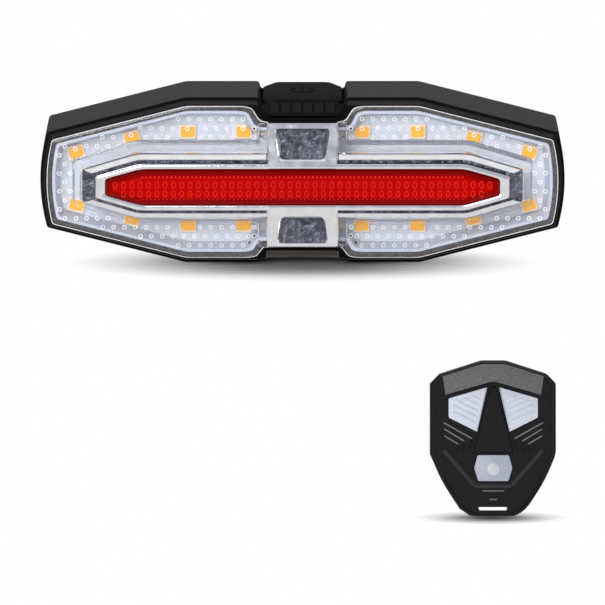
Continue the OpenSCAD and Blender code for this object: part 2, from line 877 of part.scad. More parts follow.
// Places of the tact switches, under the middle of each button
module tact_places() {
  for (side = [-1, 1]) translate([side * turn_x, 0, turn_z]) children();
  translate([0, 0, mode_z]) children();
}

module strap_slot() {
  slab(-over, remote_t + over) translate([-slot_w / 2, slot_z]) square([slot_w, slot_h]);
}

module remote_front_shell() {
  bevel_back = remote_t - remote_bevel;
  raised = 0.5;
  color("#26262a") at_remote() difference() {
    union() {
      difference() {
        hull() {
          slab(remote_split + seam, bevel_back) polygon(remote_outline());
          slab(remote_t - seam, remote_t) polygon(inset(remote_outline(), remote_bevel));
        }
        slab(remote_split, wall_back) polygon(inset(remote_outline(), remote_wall));
      }
      slab(remote_split + seam, wall_back + seam) intersection() {
        polygon(remote_outline());
        translate([-slot_w / 2 - remote_wall, 0]) square([slot_w + 2 * remote_wall, slot_z + slot_h + remote_wall]);
      }
      remote_screw_places() bar(0, 0, board_face + 0.2, wall_back + seam, 2 * remote_boss_r);
      slab(remote_t - seam, remote_t + raised) front_ribs();
    }
    slab(remote_split, remote_t + over) {
      for (side = [0, 1]) mirror([side, 0]) polygon(inset(turn_outline(), -tap_gap));
      polygon(inset(mode_outline(), -tap_gap));
    }
    slab(remote_t - groove_depth, remote_t + over) chevrons();
    strap_slot();
    remote_screw_places() bar(0, 0, remote_split, wall_back + remote_front_wall / 2, remote_screw_d + seam);
  }
}

// The raised nose between the turn buttons, and the V shaped rib round the mode button
module front_ribs() {
  nose_gap = tap_gap + 0.3;
  nose_top = remote_h - turn_apex_drop - 1;
  nose_foot = remote_h - turn_apex_drop - turn_h - 0.5;
  polygon(both_sides([
    [turn_apex_x - nose_gap, nose_top], [turn_foot_x - nose_gap, nose_foot], [turn_foot_x - 1.2, mode_z + mode_h / 2 + 0.8]
  ]));
  rib_w = 0.9;
  rib_foot = mode_z - mode_h / 2 - 1.2;
  stroke(both_sides([[remote_side_x - 2.6, waist_z + 1], [mode_w / 2, rib_foot]]), rib_w);
}

// Three bent grooves under each turn button
module chevrons() {
  pitch = 1.35;
  top = remote_h - turn_apex_drop - turn_slope_drop - turn_side_h - 1.1;
  for (side = [0, 1], i = [0 : 2]) mirror([side, 0]) stroke([
    [remote_side_x - 2.6, top - i * pitch],
    [turn_foot_x + 1.2 + i * 1.3, top - 3 - i * pitch / 2],
    [turn_foot_x + 2 + i * 1.3, top - 5 - i * pitch / 2]
  ], stroke_w);
}

module remote_back_shell() {
  lug_t = 0.7;
  ring_r = door_r + door_gap + 0.8;
  color("#202024") at_remote() difference() {
    union() {
      difference() {
        slab(0, remote_split - seam) polygon(remote_outline());
        slab(door_t, remote_split) polygon(inset(remote_outline(), remote_wall));
      }
      slab(door_t - seam, remote_split - seam) intersection() {
        polygon(remote_outline());
        translate([-slot_w / 2 - remote_wall, 0]) square([slot_w + 2 * remote_wall, slot_z + slot_h + remote_wall]);
      }
      intersection() {
        slab(door_t - seam, board_seat) polygon(remote_outline());
        bar(0, cell_z, 0, board_seat, 2 * (ring_r + lug_reach));
      }
      remote_screw_places() bar(0, 0, door_t - seam, board_seat, 2 * remote_boss_r);
    }
    bar(0, cell_z, -over, board_seat + over, 2 * (door_r + door_gap));
    bar(0, cell_z, door_t - lug_t - door_gap, door_t + door_gap / 2, 2 * (door_r + lug_reach + door_gap));
    strap_slot();
    remote_screw_places() {
      bar(0, 0, -over, board_seat + over, remote_screw_d + 2 * seam);
      bar(0, 0, -over, remote_head_t + seam, remote_head_d + 2 * seam);
    }
  }
}

module remote_gasket() {
  color("#0f0f11") at_remote() difference() {
    slab(remote_split - seam, remote_split + seam) difference() {
      polygon(inset(remote_outline(), remote_wall / 4));
      polygon(inset(remote_outline(), remote_wall));
    }
    strap_slot();
  }
}

// A button: its face, and the rim that keeps it in its hole
module tap_button(points) {
  slab(tap_back, tap_back + tap_rim_t) polygon(inset(points, -tap_rim - tap_gap));
  slab(tap_back + tap_rim_t - seam, tap_front) polygon(points);
}

module left_button() {
  color("#cfd4ea") at_remote() mirror([1, 0, 0]) tap_button(turn_outline());
}

module right_button() {
  color("#cfd4ea") at_remote() tap_button(turn_outline());
}

module mode_button() {
  ring_d = 2.6;
  ring_w = 0.5;
  color("#bfc6dc") at_remote() {
    tap_button(mode_outline());
    difference() {
      bar(0, mode_z, tap_front - seam, tap_front + 0.2, ring_d);
      bar(0, mode_z, tap_front - over, tap_front + over, ring_d - 2 * ring_w);
    }
  }
}

// The stem of one tact switch, which moves with its button
module tact_stem() {
  bar(0, 0, board_face + tap_travel + 0.3, tap_back, tact_stem_d);
}

module left_plunger() {
  color("#d6d2c4") at_remote() translate([-turn_x, 0, turn_z]) tact_stem();
}

module right_plunger() {
  color("#d6d2c4") at_remote() translate([turn_x, 0, turn_z]) tact_stem();
}

module mode_plunger() {
  color("#d6d2c4") at_remote() translate([0, 0, mode_z]) tact_stem();
}

module remote_switches() {
  color("#b9bcc2") at_remote() tact_places() difference() {
    slab(board_face, tact_face) square(tact_w, center = true);
    bar(0, 0, board_face + 0.2, tact_face + over, tact_stem_d + 2 * stem_gap);
  }
}

module remote_board() {
  color("#1f5c3a") at_remote() difference() {
    slab(board_seat, board_face) intersection() {
      polygon(inset(remote_outline(), remote_wall + 0.3));
      translate([-remote_w, slot_z + slot_h + 2 * remote_boss_r + 1]) square([2 * remote_w, remote_h]);
    }
    remote_screw_places() bar(0, 0, board_seat - over, board_face + over, 2 * remote_boss_r + 0.4);
  }
}

// A spring tab on each side of the coin cell, soldered to the board
module cell_contacts() {
  tab = [6, 3];
  color("#d9c27a") at_remote() {
    slab(cell_back + cell_t, board_seat) translate([0, cell_z]) square(tab, center = true);
    slab(cell_back + cell_t, board_seat) translate([0, cell_z + cell_d / 2 - 2.2]) square([4, 2], center = true);
  }
}

module coin_cell() {
  lip = 0.4;
  color("#c4c6ca") at_remote() {
    bar(0, cell_z, cell_back, cell_back + cell_t - lip, cell_d);
    bar(0, cell_z, cell_back + cell_t - lip - seam, cell_back + cell_t, cell_d - 4 * lip);
  }
}

// A round door with a coin slot and three lugs that turn under the shell
module battery_door() {
  lug_t = 0.7;
  lug_angle = 30;
  coin_slot = [12, 1.8];
  color("#26262a") at_remote() difference() {
    union() {
      bar(0, cell_z, 0, cell_back, 2 * door_r);
      translate([0, 0, cell_z]) rotate([90, 0, 0]) for (i = [0 : 2])
        rotate([0, 0, 120 * i]) rotate_extrude(angle = lug_angle)
          translate([door_r - seam, door_t - lug_t]) square([lug_reach + seam, lug_t - door_gap]);
    }
    slab(-over, door_t / 2) translate([0, cell_z]) square(coin_slot, center = true);
  }
}

module remote_screws() {
  color("silver") at_remote() remote_screw_places() {
    bar(0, 0, 0.1, remote_head_t, remote_head_d);
    bar(0, 0, remote_head_t - seam, wall_back, remote_screw_d);
  }
}

rear_housing();
lens_gasket();
front_bezel();
clear_lens();
chrome_trim();
red_lens();
led_board();
amber_leds_left();
amber_leds_right();
red_leds();
board_screws();
main_board();
battery();
battery_pad();
power_switch();
power_plunger();
power_button();
usb_port();
usb_cover();
mount_bracket();
mount_pad();
bracket_screws();
remote_front_shell();
remote_back_shell();
remote_gasket();
left_button();
right_button();
mode_button();
left_plunger();
right_plunger();
mode_plunger();
remote_switches();
remote_board();
cell_contacts();
coin_cell();
battery_door();
remote_screws();
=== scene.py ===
"""Looks of a bicycle turn signal light and its remote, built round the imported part."""
import math

import bmesh
import bpy
import numpy as np
from bpy.props import FloatProperty, FloatVectorProperty, PointerProperty
from bpy.types import Operator, Panel, PropertyGroup
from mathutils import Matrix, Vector


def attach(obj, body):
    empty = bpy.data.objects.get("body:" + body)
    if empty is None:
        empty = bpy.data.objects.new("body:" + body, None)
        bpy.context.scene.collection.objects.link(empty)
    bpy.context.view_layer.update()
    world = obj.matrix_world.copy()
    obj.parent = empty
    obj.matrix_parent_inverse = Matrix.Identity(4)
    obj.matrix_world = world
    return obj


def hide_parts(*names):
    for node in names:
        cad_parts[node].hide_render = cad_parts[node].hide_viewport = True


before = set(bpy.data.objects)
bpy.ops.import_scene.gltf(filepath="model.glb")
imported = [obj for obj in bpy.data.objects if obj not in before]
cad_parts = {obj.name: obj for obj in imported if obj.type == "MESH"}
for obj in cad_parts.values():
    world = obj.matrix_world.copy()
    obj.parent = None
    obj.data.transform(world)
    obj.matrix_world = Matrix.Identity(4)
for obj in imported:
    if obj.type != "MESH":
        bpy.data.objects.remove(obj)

bl_info = {
    "name": "Turn signal light",
    "version": (1, 0, 0),
    "blender": (4, 5, 0),
    "location": "View3D > Sidebar > Turn signal",
    "description": "Builds the light, its remote and the stage they are pictured on",
    "category": "Object",
}

MM = 0.001
CORNER_STEPS = 5

# Finishes by a short name, filled by the first step
FINISH = {}

# Outline of the light in millimetres: a level top, slopes to the ends, and an arc at each end
TOP = 17.5
LEVEL_X = 24.6
END_R = 37.0
END_CENTRE = 18.0
END_X = 53.6
END_Z = 10.1
SLOPE = math.atan((TOP - END_Z) / (END_X - LEVEL_X))
DRAFT = 0.6
BUTTON_RECESS_X = 9.0

# Forward distances in millimetres, from the seat post towards the eye
HOUSING_BACK = 19.0
INSIDE_BACK = 21.2
LED_BACK = 36.15
RIM = 39.0
BEZEL_BACK = 39.6
BEZEL_FRONT = 42.1
LENS_BACK = 40.5
LINER_SEAT = LENS_BACK + 0.01
LINER_FLANGE = LENS_BACK + 0.1
LENS_FRONT = 42.3
PLATFORM_FRONT = 44.3
GROOVE = 44.4
CHROME_FRONT = 46.8
RED_FRONT = 47.8

# Chrome boxes over and under the bar, and how far the bar lies below the light's middle
BOX_X = 7.4
BOX_TOP = 12.85
OPENING_TOP = 12.35
BOX_BOTTOM = -13.2
BOX_FALL = 1.9
BAR_DROP = 0.4

# Place of the remote
REMOTE_X = 38.9
REMOTE_BACK = 84.0
REMOTE_FOOT = -62.6
REMOTE_LEAN = math.radians(11)

# Small relief is sunk this far into the face that it stands on
DOT_ROOT = 0.05
RIDGE_ROOT = 0.1
DOME_ANGLES = (0.35, 0.8, 1.2)


# Colours and sizes that a user may change

def linear(code):
    """The linear colour of a six digit sRGB code, with full alpha."""
    levels = [int(code[i:i + 2], 16) / 255 for i in (1, 3, 5)]
    return tuple(v / 12.92 if v <= 0.04045 else ((v + 0.055) / 1.055) ** 2.4 for v in levels) + (1.0,)


def colour(label, code, about):
    """A colour property."""
    return FloatVectorProperty(name=label, description=about, subtype="COLOR", size=4, min=0, max=1,
                               default=linear(code))


def length(label, millimetres, about):
    """A length property."""
    return FloatProperty(name=label, description=about, subtype="DISTANCE", unit="LENGTH", min=0,
                         precision=5, default=millimetres * MM)


class SignalColours(PropertyGroup):
    """Colours of the light and the remote."""

    casing: colour("Casing", "#23201D", "Colour of the light's black casing")
    rubber: colour("Rubber", "#191919", "Colour of the button and the pads")
    clear: colour("Clear lens", "#F6F8FC", "Tint of the clear cover")
    board: colour("LED board", "#E4E5EA", "Colour of the white board behind the lens")
    chrome: colour("Chrome", "#EDEDEE", "Colour of the plated trim")
    red: colour("Red bar", "#B40000", "Colour of the red lens")
    amber: colour("Amber LEDs", "#F8AE0C", "Colour of the amber LEDs' windows")
    remote: colour("Remote", "#151518", "Colour of the remote's casing")
    # The facet's grey is partly painted light: paler as if it faced up to the lamps
    facet: colour("Remote facet", "#62605F", "Colour of the remote's grained upper facet")
    taps: colour("Remote buttons", "#C4C8D4", "Colour of the remote's buttons")


class SignalSizes(PropertyGroup):
    """Sizes of the small forms that the photograph shows."""

    prism_d: length("Prism diameter", 0.95, "Diameter of the dots in the clear lens")
    prism_x: length("Prism pitch", 2.26, "Distance between the dots in a row")
    prism_z: length("Prism rows", 1.91, "Distance between the rows of dots")
    oval_x: length("Red oval pitch", 1.735, "Distance between the ovals on the red bar")
    grain: length("Casing grain", 0.25, "Size of the grain on the black casing")
    grain_h: length("Grain height", 0.012, "Height of the grain on the black casing")


def colours():
    """The colours that are set on the scene."""
    return bpy.context.scene.signal_colours


def sizes():
    """The sizes that are set on the scene."""
    return bpy.context.scene.signal_sizes


# Outlines in X and Z

def pair(points):
    """Corners of the right half, from top to bottom, followed by their mirror images."""
    points = np.asarray(points, float)
    return np.vstack([points, points[::-1] * (-1, 1)])


def inset(points, distance):
    """A clockwise outline drawn in by a distance: a corner moves along the sum of its inward normals."""
    points = np.asarray(points, float)
    before = points - np.roll(points, 1, 0)
    after = np.roll(points, -1, 0) - points
    before /= np.linalg.norm(before, axis=1, keepdims=True)
    after /= np.linalg.norm(after, axis=1, keepdims=True)
    in_before = np.column_stack([before[:, 1], -before[:, 0]])
    in_after = np.column_stack([after[:, 1], -after[:, 0]])
    share = 1 + (in_before * in_after).sum(1, keepdims=True)
    return points + distance * (in_before + in_after) / share


def rounded(points, radii, steps=CORNER_STEPS):
    """An outline whose corners are parabolas, which leave the two edges at radius from the corner."""
    points = np.asarray(points, float)
    radii = np.broadcast_to(np.asarray(radii, float), len(points))[:, None]
    to_before = np.roll(points, 1, 0) - points
    to_after = np.roll(points, -1, 0) - points
    share_before = np.minimum(radii / np.linalg.norm(to_before, axis=1, keepdims=True), 0.49)
    share_after = np.minimum(radii / np.linalg.norm(to_after, axis=1, keepdims=True), 0.49)
    start = points + to_before * share_before
    end = points + to_after * share_after
    u = np.linspace(0, 1, steps)[None, :, None]
    curve = (1 - u) ** 2 * start[:, None] + 2 * u * (1 - u) * points[:, None] + u ** 2 * end[:, None]
    return curve.reshape(-1, 2)


def block(half_w, low, high):
    """The four corners of a rectangle, clockwise from its upper right."""
    return [(half_w, high), (half_w, low), (-half_w, low), (-half_w, high)]


def inside(points, outline):
    """True for each point that lies within an outline, by counting the edges to its right."""
    x, z = points[:, :1], points[:, 1:]
    ax, az = outline[:, 0], outline[:, 1]
    bx, bz = np.roll(ax, -1), np.roll(az, -1)
    crosses = (az > z) != (bz > z)
    rise = np.where(bz == az, 1e-9, bz - az)
    return ((crosses & (x < ax + (z - az) * (bx - ax) / rise)).sum(1) % 2).astype(bool)


# Shapes: a pair of an array of places and a list of faces

def ring(points, forward):
    """Places of an outline at a forward distance, which may differ from point to point."""
    points = np.asarray(points, float)
    return np.column_stack([points[:, 0], -np.broadcast_to(forward, len(points)), points[:, 1]])


def loft(rings, first=False, last=False, around=False):
    """A skin over rings of equal length: place (i, j) is point j of ring i. Ends are capped, or joined."""
    count, size = len(rings), len(rings[0])
    index = np.arange(count * size).reshape(count, size)
    if around:
        index = np.vstack([index, index[:1]])
    low, high = index[:-1], index[1:]
    quads = np.stack([low, np.roll(low, -1, 1), np.roll(high, -1, 1), high], -1).reshape(-1, 4)
    faces = quads.tolist()
    if first:
        faces.append(index[0].tolist()[::-1])
    if last:
        faces.append(index[-1].tolist())
    return np.vstack(rings), faces


def solid(rings):
    """A skin over rings with both ends capped."""
    return loft(rings, first=True, last=True)


def merge(shapes):
    """Several shapes as one."""
    starts = np.cumsum([0] + [len(places) for places, _ in shapes])
    faces = [[i + start for i in face] for (_, made), start in zip(shapes, starts) for face in made]
    return np.vstack([places for places, _ in shapes]), faces


def plate(outline, back, front, edge=0.0):
    """A flat solid between two forward distances, with its front edge bevelled."""
    rings = [ring(outline, back), ring(outline, front - edge)]
    if edge:
        rings.append(ring(inset(outline, edge), front))
    return solid(rings)


def dot(radius, height, around=8):
    """A low dome: ring i has radius cos(i) and stands height sin(i) forward."""
    turn = np.arange(around) * -2 * math.pi / around
    circle = np.column_stack([np.cos(turn), np.sin(turn)]) * radius
    rings = [ring(circle * math.cos(a), height * math.sin(a)) for a in DOME_ANGLES]
    return solid([ring(circle, -DOT_ROOT)] + rings)


def oval(radius_x, radius_z, thick):
    """A thin oval ring: place (i, j) is at angle i, thick cos(j) outside it and thick sin(j) forward."""
    around, sides = 12, 4
    swing = np.arange(sides) * 2 * math.pi / sides
    reach, rise = thick * np.cos(swing), thick * np.sin(swing)
    rings = [np.column_stack([(radius_x + reach) * math.cos(a), -rise, (radius_z + reach) * math.sin(a)])
             for a in np.arange(around) * 2 * math.pi / around]
    return loft(rings, around=True)


def ridge(start, end, forward, half, height):
    """A low ridge on a face, from one point to another: its section is an arc, and it tapers at its ends."""
    start, end = np.asarray(start, float), np.asarray(end, float)
    run = np.linalg.norm(end - start)
    along = (end - start) / run
    across = np.array([-along[1], along[0]])
    stations = np.array([0, 0.3 * half, half, run - half, run - 0.3 * half, run])
    turn = np.linspace(0, math.pi, 7)
    rings = []
    for station, share in zip(stations, (0.15, 0.75, 1, 1, 0.75, 0.15)):
        spots = start + along * station + np.outer(np.cos(turn) * half * share, across)
        rise = np.sin(turn) * height * share
        rise[[0, -1]] = -RIDGE_ROOT
        rings.append(ring(spots, forward + rise))
    return solid(rings)


def copies(shape, centres, forward):
    """The same shape at each of many centres on a face."""
    places, faces = shape
    spots = ring(centres, forward)
    starts = (np.arange(len(spots)) * len(places)).tolist()
    everywhere = (spots[:, None] + places[None]).reshape(-1, 3)
    return everywhere, [[i + start for i in face] for start in starts for face in faces]


def moved(shape, x=0.0, forward=0.0, z=0.0):
    """A shape at another place."""
    places, faces = shape
    return places + np.array([x, -forward, z]), faces


def make(name, shape, finish_name, body, nodes, angle=32):
    """A closed mesh from a shape in millimetres, with its faces turned outward, tied to the part's nodes."""
    places, faces = shape
    mesh = bpy.data.meshes.new(name)
    mesh.from_pydata((places * MM).tolist(), [], faces)
    work = bmesh.new()
    work.from_mesh(mesh)
    bmesh.ops.recalc_face_normals(work, faces=work.faces)
    work.to_mesh(mesh)
    work.free()
    mesh.shade_smooth()
    mesh.set_sharp_from_angle(angle=math.radians(angle))
    mesh.materials.append(FINISH[finish_name])
    piece = bpy.data.objects.new(name, mesh)
    bpy.context.scene.collection.objects.link(piece)
    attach(piece, body)
    if nodes:
        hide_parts(*nodes)


# Finishes

# Most of a noise's values lie between these two
NOISE_LOW, NOISE_HIGH = 0.3, 0.7


def add(tree, kind, inputs=None, **settings):
    """Adds a node with its settings. An input given as a socket is linked, any other is set on it."""
    made = tree.nodes.new(kind)
    for name, value in settings.items():
        setattr(made, name, value)
    for name, value in (inputs or {}).items():
        if isinstance(value, bpy.types.NodeSocket):
            tree.links.new(value, made.inputs[name])
        else:
            made.inputs[name].default_value = value
    return made


def blank(name):
    """A new material and its empty node tree."""
    material = bpy.data.materials.new(name)
    material.use_nodes = True
    material.node_tree.nodes.clear()
    return material, material.node_tree


def grained(tree, grain, height, detail=2.0):
    """A noise whose grain is a real size, and the bump that it makes."""
    place = add(tree, "ShaderNodeTexCoord").outputs["Object"]
    noise = add(tree, "ShaderNodeTexNoise", {"Vector": place, "Scale": 1 / grain, "Detail": detail})
    bump = add(tree, "ShaderNodeBump", {"Height": noise.outputs["Fac"], "Distance": height})
    return noise.outputs["Fac"], bump.outputs["Normal"]


def finish(name, tint, roughness, grain, height, vary=0.08, mottle=0.06, detail=2.0, **more):
    """One colour with a fine grain. The roughness varies with the grain, and the shade is mottled by it."""
    material, tree = blank(name)
    level, normal = grained(tree, grain, height, detail)
    gloss = add(tree, "ShaderNodeMapRange", {
        "Value": level, "From Min": NOISE_LOW, "From Max": NOISE_HIGH,
        "To Min": max(roughness - vary, 0.01), "To Max": roughness + vary})
    shade = add(tree, "ShaderNodeMapRange", {
        "Value": level, "From Min": NOISE_LOW, "From Max": NOISE_HIGH,
        "To Min": 1 - mottle, "To Max": 1 + mottle})
    body = add(tree, "ShaderNodeVectorMath", {0: tuple(tint)[:3], 1: shade.outputs["Result"]},
               operation="MULTIPLY")
    inputs = {"Base Color": body.outputs["Vector"], "Roughness": gloss.outputs["Result"], "Normal": normal}
    inputs.update({key.replace("_", " ").title().replace("Ior", "IOR"): value for key, value in more.items()})
    shader = add(tree, "ShaderNodeBsdfPrincipled", inputs)
    add(tree, "ShaderNodeOutputMaterial", {"Surface": shader.outputs["BSDF"]})
    return material


def clear_polycarbonate(name, tint, ior, roughness):
    """A clear plastic with slow waves, which bends the view behind it. Lamps shine straight through it."""
    material, tree = blank(name)
    normal = grained(tree, 6 * MM, 0.02 * MM)[1]
    glass = add(tree, "ShaderNodeBsdfPrincipled", {
        "Base Color": tint, "Roughness": roughness, "IOR": ior, "Transmission Weight": 1.0, "Normal": normal})
    through = add(tree, "ShaderNodeBsdfTransparent", {"Color": tint})
    path = add(tree, "ShaderNodeLightPath")
    mixed = add(tree, "ShaderNodeMixShader", {
        0: path.outputs["Is Shadow Ray"], 1: glass.outputs["BSDF"], 2: through.outputs["BSDF"]})
    add(tree, "ShaderNodeOutputMaterial", {"Surface": mixed.outputs["Shader"]})
    return material


def lit_window(name, tint, glow, roughness):
    """The resin over an LED's chip: a saturated window with a painted glow, here more and there less."""
    material, tree = blank(name)
    level, normal = grained(tree, 0.4 * MM, 0.01 * MM)
    shade = add(tree, "ShaderNodeMapRange", {
        "Value": level, "From Min": NOISE_LOW, "From Max": NOISE_HIGH,
        "To Min": 0.8 * glow, "To Max": 1.2 * glow})
    shader = add(tree, "ShaderNodeBsdfPrincipled", {
        "Base Color": tint, "Roughness": roughness, "Normal": normal,
        "Emission Color": tint, "Emission Strength": shade.outputs["Result"]})
    add(tree, "ShaderNodeOutputMaterial", {"Surface": shader.outputs["BSDF"]})
    return material


def red_polycarbonate(name, tint, deep, roughness):
    """A clear red plastic: where it turns away, the eye looks through more of it, so it is deeper."""
    material, tree = blank(name)
    normal = grained(tree, 3 * MM, 0.01 * MM)[1]
    facing = add(tree, "ShaderNodeLayerWeight", {"Blend": 0.5})
    away = add(tree, "ShaderNodeMapRange", {
        "Value": facing.outputs["Facing"], "From Min": 0.04, "From Max": 0.17})
    body = add(tree, "ShaderNodeMix", {0: away.outputs["Result"], 6: tint, 7: deep}, data_type="RGBA")
    shader = add(tree, "ShaderNodeBsdfPrincipled", {
        "Base Color": body.outputs[2], "Roughness": roughness, "Normal": normal, "Specular IOR Level": 0.04})
    add(tree, "ShaderNodeOutputMaterial", {"Surface": shader.outputs["BSDF"]})
    return material


def build_finishes():
    """Every finish, by a short name. Grains finer than a pixel are drawn as coarse as they need to show."""
    tint, size = colours(), sizes()
    return {
        # Fine grained mould finish: dark and dull, a little paler where it faces the softbox
        "casing": finish("Moulded black ABS", tint.casing, 0.5, size.grain, size.grain_h,
                         specular_ior_level=0.017),
        # Smoother mould finish: darker than the casing, with hardly any sheen
        "bezel": finish("Satin black ABS", linear("#141211"), 0.45, size.grain, 0.5 * size.grain_h,
                        specular_ior_level=0.008),
        # Soft touch rubber: deep black, with no highlights to speak of
        "rubber": finish("Black silicone rubber", tint.rubber, 0.5, 0.3 * MM, 0.008 * MM,
                         specular_ior_level=0.001),
        # Dusty rubber of the port's cover: brown black, with a dull sheen
        "cover": finish("Brown black rubber", linear("#453E3A"), 0.6, 0.3 * MM, 0.01 * MM,
                        specular_ior_level=0.2),
        # Injection moulded clear plastic: sharp edges that catch light, and a view of the board
        "clear": clear_polycarbonate("Clear polycarbonate", tint.clear, ior=1.5, roughness=0.08),
        # Rings of the clear lens: painted highlight, white with a painted glow standing in for the light they
        # gather, so they are whiter than the board behind them
        "prism": finish("White prism highlight", linear("#FFFFFF"), 0.3, 0.3 * MM, 0.004 * MM,
                        emission_color=linear("#FFFFFF"), emission_strength=0.12),
        # Plated plastic: a bright mirror with slight waves
        "chrome": finish("Chrome plated plastic", tint.chrome, 0.08, 2.2 * MM, 0.006 * MM, vary=0.03,
                         metallic=1.0),
        # Plating over a sparked mould: broken, dark and bright grains, drawn coarser so that they show
        "stipple": finish("Stippled chrome", linear("#5C5E69"), 0.25, 1.5 * MM, 0.8 * MM, vary=0.1,
                          mottle=0.7, detail=5.0, metallic=1.0),
        # Plating over a moulded edge: satin, mostly dark, with soft pale patches
        "satin": finish("Satin chrome", linear("#4E4A47"), 0.45, 0.8 * MM, 0.03 * MM, vary=0.1, mottle=0.5,
                        metallic=1.0),
        # Deep red plastic: saturated, and deeper where it turns away
        "red": red_polycarbonate("Red polycarbonate", tint.red, linear("#860000"), roughness=0.2),
        # Prism ovals of the red bar: painted highlight, a paler red than the bar standing in for the light
        # they gather
        "red_prism": finish("Red prism highlight polycarbonate", linear("#EE2818"), 0.2, 3 * MM, 0.01 * MM, vary=0.04,
                            specular_ior_level=0.2),
        # White solder mask: an even pale ground
        "mask": finish("White solder mask", tint.board, 0.4, 0.5 * MM, 0.004 * MM),
        # White reflector moulding: painted shade, a shade darker than the board as it turns away from the
        # light
        "liner": finish("White reflector ABS", linear("#CACDD8"), 0.4, 0.5 * MM, 0.004 * MM),
        # Bars on the button's front: the same rubber, painted a little paler as a painted highlight where
        # they catch light
        "bar": finish("Black silicone with painted highlight", linear("#202022"), 0.5, 0.3 * MM, 0.008 * MM,
                      specular_ior_level=0.02),
        # Soft ridges of the remote: painted highlight, painted paler than the shell for the light their
        # crests catch
        "rib": finish("Black rubber with painted highlight", linear("#323233"), 0.45, 0.3 * MM, 0.008 * MM,
                      specular_ior_level=0.06),
        # Green solder mask over copper: seen only when the insides are opened
        "green": finish("Green solder mask", linear("#1E5A38"), 0.35, 0.4 * MM, 0.006 * MM),
        # Moulded white package of an LED: a warm rim round its window
        "package": finish("White LED package", linear("#FFEBD2"), 0.35, 0.3 * MM, 0.004 * MM),
        # Resin over the amber chip: saturated, with a painted glow as if lit from within
        "amber": lit_window("Amber LED resin", tint.amber, glow=0.3, roughness=0.25),
        # Resin over the red chip: a deep painted glow behind the bar
        "red_led": lit_window("Red LED resin", linear("#D83020"), glow=0.2, roughness=0.25),
        # Turned and zinc plated steel: pale grey, softly bright
        "steel": finish("Zinc plated steel", linear("#B8BABC"), 0.3, 0.2 * MM, 0.004 * MM, metallic=1.0),
        # Sprung brass strip: yellow and bright
        "brass": finish("Brass strip", linear("#C9A862"), 0.28, 0.2 * MM, 0.004 * MM, vary=0.06,
                        metallic=1.0),
        # Wrapped battery foil: blue grey, slightly creased
        "foil": finish("Battery foil", linear("#8F98A3"), 0.32, 0.8 * MM, 0.02 * MM, metallic=0.8),
        # Open foam: dull and pitted
        "foam": finish("Grey foam", linear("#3C3C40"), 0.85, 0.4 * MM, 0.08 * MM),
        # Moulded black switch plastic: even and satin
        "switch": finish("Black switch plastic", linear("#1D1D20"), 0.4, 0.2 * MM, 0.006 * MM),
        # Fine mould grain of the remote: blue black, satin
        "remote": finish("Remote black ABS", tint.remote, 0.42, size.grain, size.grain_h,
                         specular_ior_level=0.1),
        # Raised lines of the remote: painted highlight, painted paler than the shell
        "line": finish("Grey ABS with painted highlight", linear("#6C6A6A"), 0.5, 0.2 * MM, 0.01 * MM, specular_ior_level=0.3),
        # Sparked grain of the remote's upper facet: grey, partly from the grain and partly painted light,
        # paler as if it faced up to the lamps; its tooth is drawn coarser so that it shows
        "facet": finish("Grained grey ABS, partly painted light", tint.facet, 0.55, 0.28 * MM, 0.12 * MM, mottle=0.28,
                        specular_ior_level=0.2),
        # Translucent silicone of the remote's buttons: pale blue white, waxy
        "silicone": finish("White silicone", tint.taps, 0.38, 0.3 * MM, 0.004 * MM,
                           subsurface_weight=0.25, subsurface_scale=0.6 * MM),
        # Painted shade: the mode button's silicone is painted greyer than the turn buttons', as it lies
        # deeper in shade
        "mode": finish("Mode silicone with painted shade", linear("#A0A5B4"), 0.38, 0.3 * MM, 0.004 * MM),
        # The pad in the middle of the mode button: the same silicone, a little paler and warmer
        "pad": finish("Warm silicone", linear("#BFBFC6"), 0.4, 0.3 * MM, 0.004 * MM),
    }


# Outlines of the light. Every half has fifteen corners, so that any two of them can be joined by a skin.

UPPER_RECESS = [(7.6, 13.65), (8.75, 15.6), (9.4, TOP)]
BACK_DIP = [(5.2, 17.4), (8.45, 16.3), (9.4, TOP)]
LOWER_RECESS = [(9.8, -TOP), (7.5, -15.9), (7.5, -14.1)]
NO_UPPER = [(8.5, TOP), (9.0, TOP), (9.4, TOP)]
NO_LOWER = [(9.8, -TOP), (8.6, -TOP), (7.5, -TOP)]
RECESSES = {"upper": UPPER_RECESS, "lower": LOWER_RECESS}
LIGHT_RADII = [1.6, 1.0, 0.4, 0.7] + [0.5] + [3.0] * 5 + [0.5] + [0.7, 0.4, 0.5, 0.9]
LENS_RADII = [2.0, 0.6, 2.4, 0.9] + [0.6] + [3.0] * 5 + [0.6] + [0.9, 2.4, 0.6, 2.0]
BAR_RADII = [0.3, 0.3, 0.3, 1.2] + [0.9] + [0.3] * 5 + [0.9] + [1.2, 0.3, 0.3, 0.3]

# Notches of the lens for the boxes: half width and height of each foot, and how far the sides flare
UPPER_NOTCH = (8.7, 12.75)
LOWER_NOTCH = (7.9, 13.6)
NOTCH_FLARE = 3.0
LENS_DEPTH = 1.4

# Long hexagons: half length and half height of the level part, half length and half height of the tip
TRIM = (34.6, 6.75, 46.2, 3.3)
RED = (33.7, 3.55, 41.0, 1.5)

# Chrome boxes: the end at the bar, the outer end, and the pocket's two half widths and two end heights
UPPER_BOX = (3.3, BOX_TOP, (5.0, 5.9, 5.1, 11.8))
LOWER_BOX = (-4.1, BOX_BOTTOM, (4.75, 5.4, -6.5, -12.5))


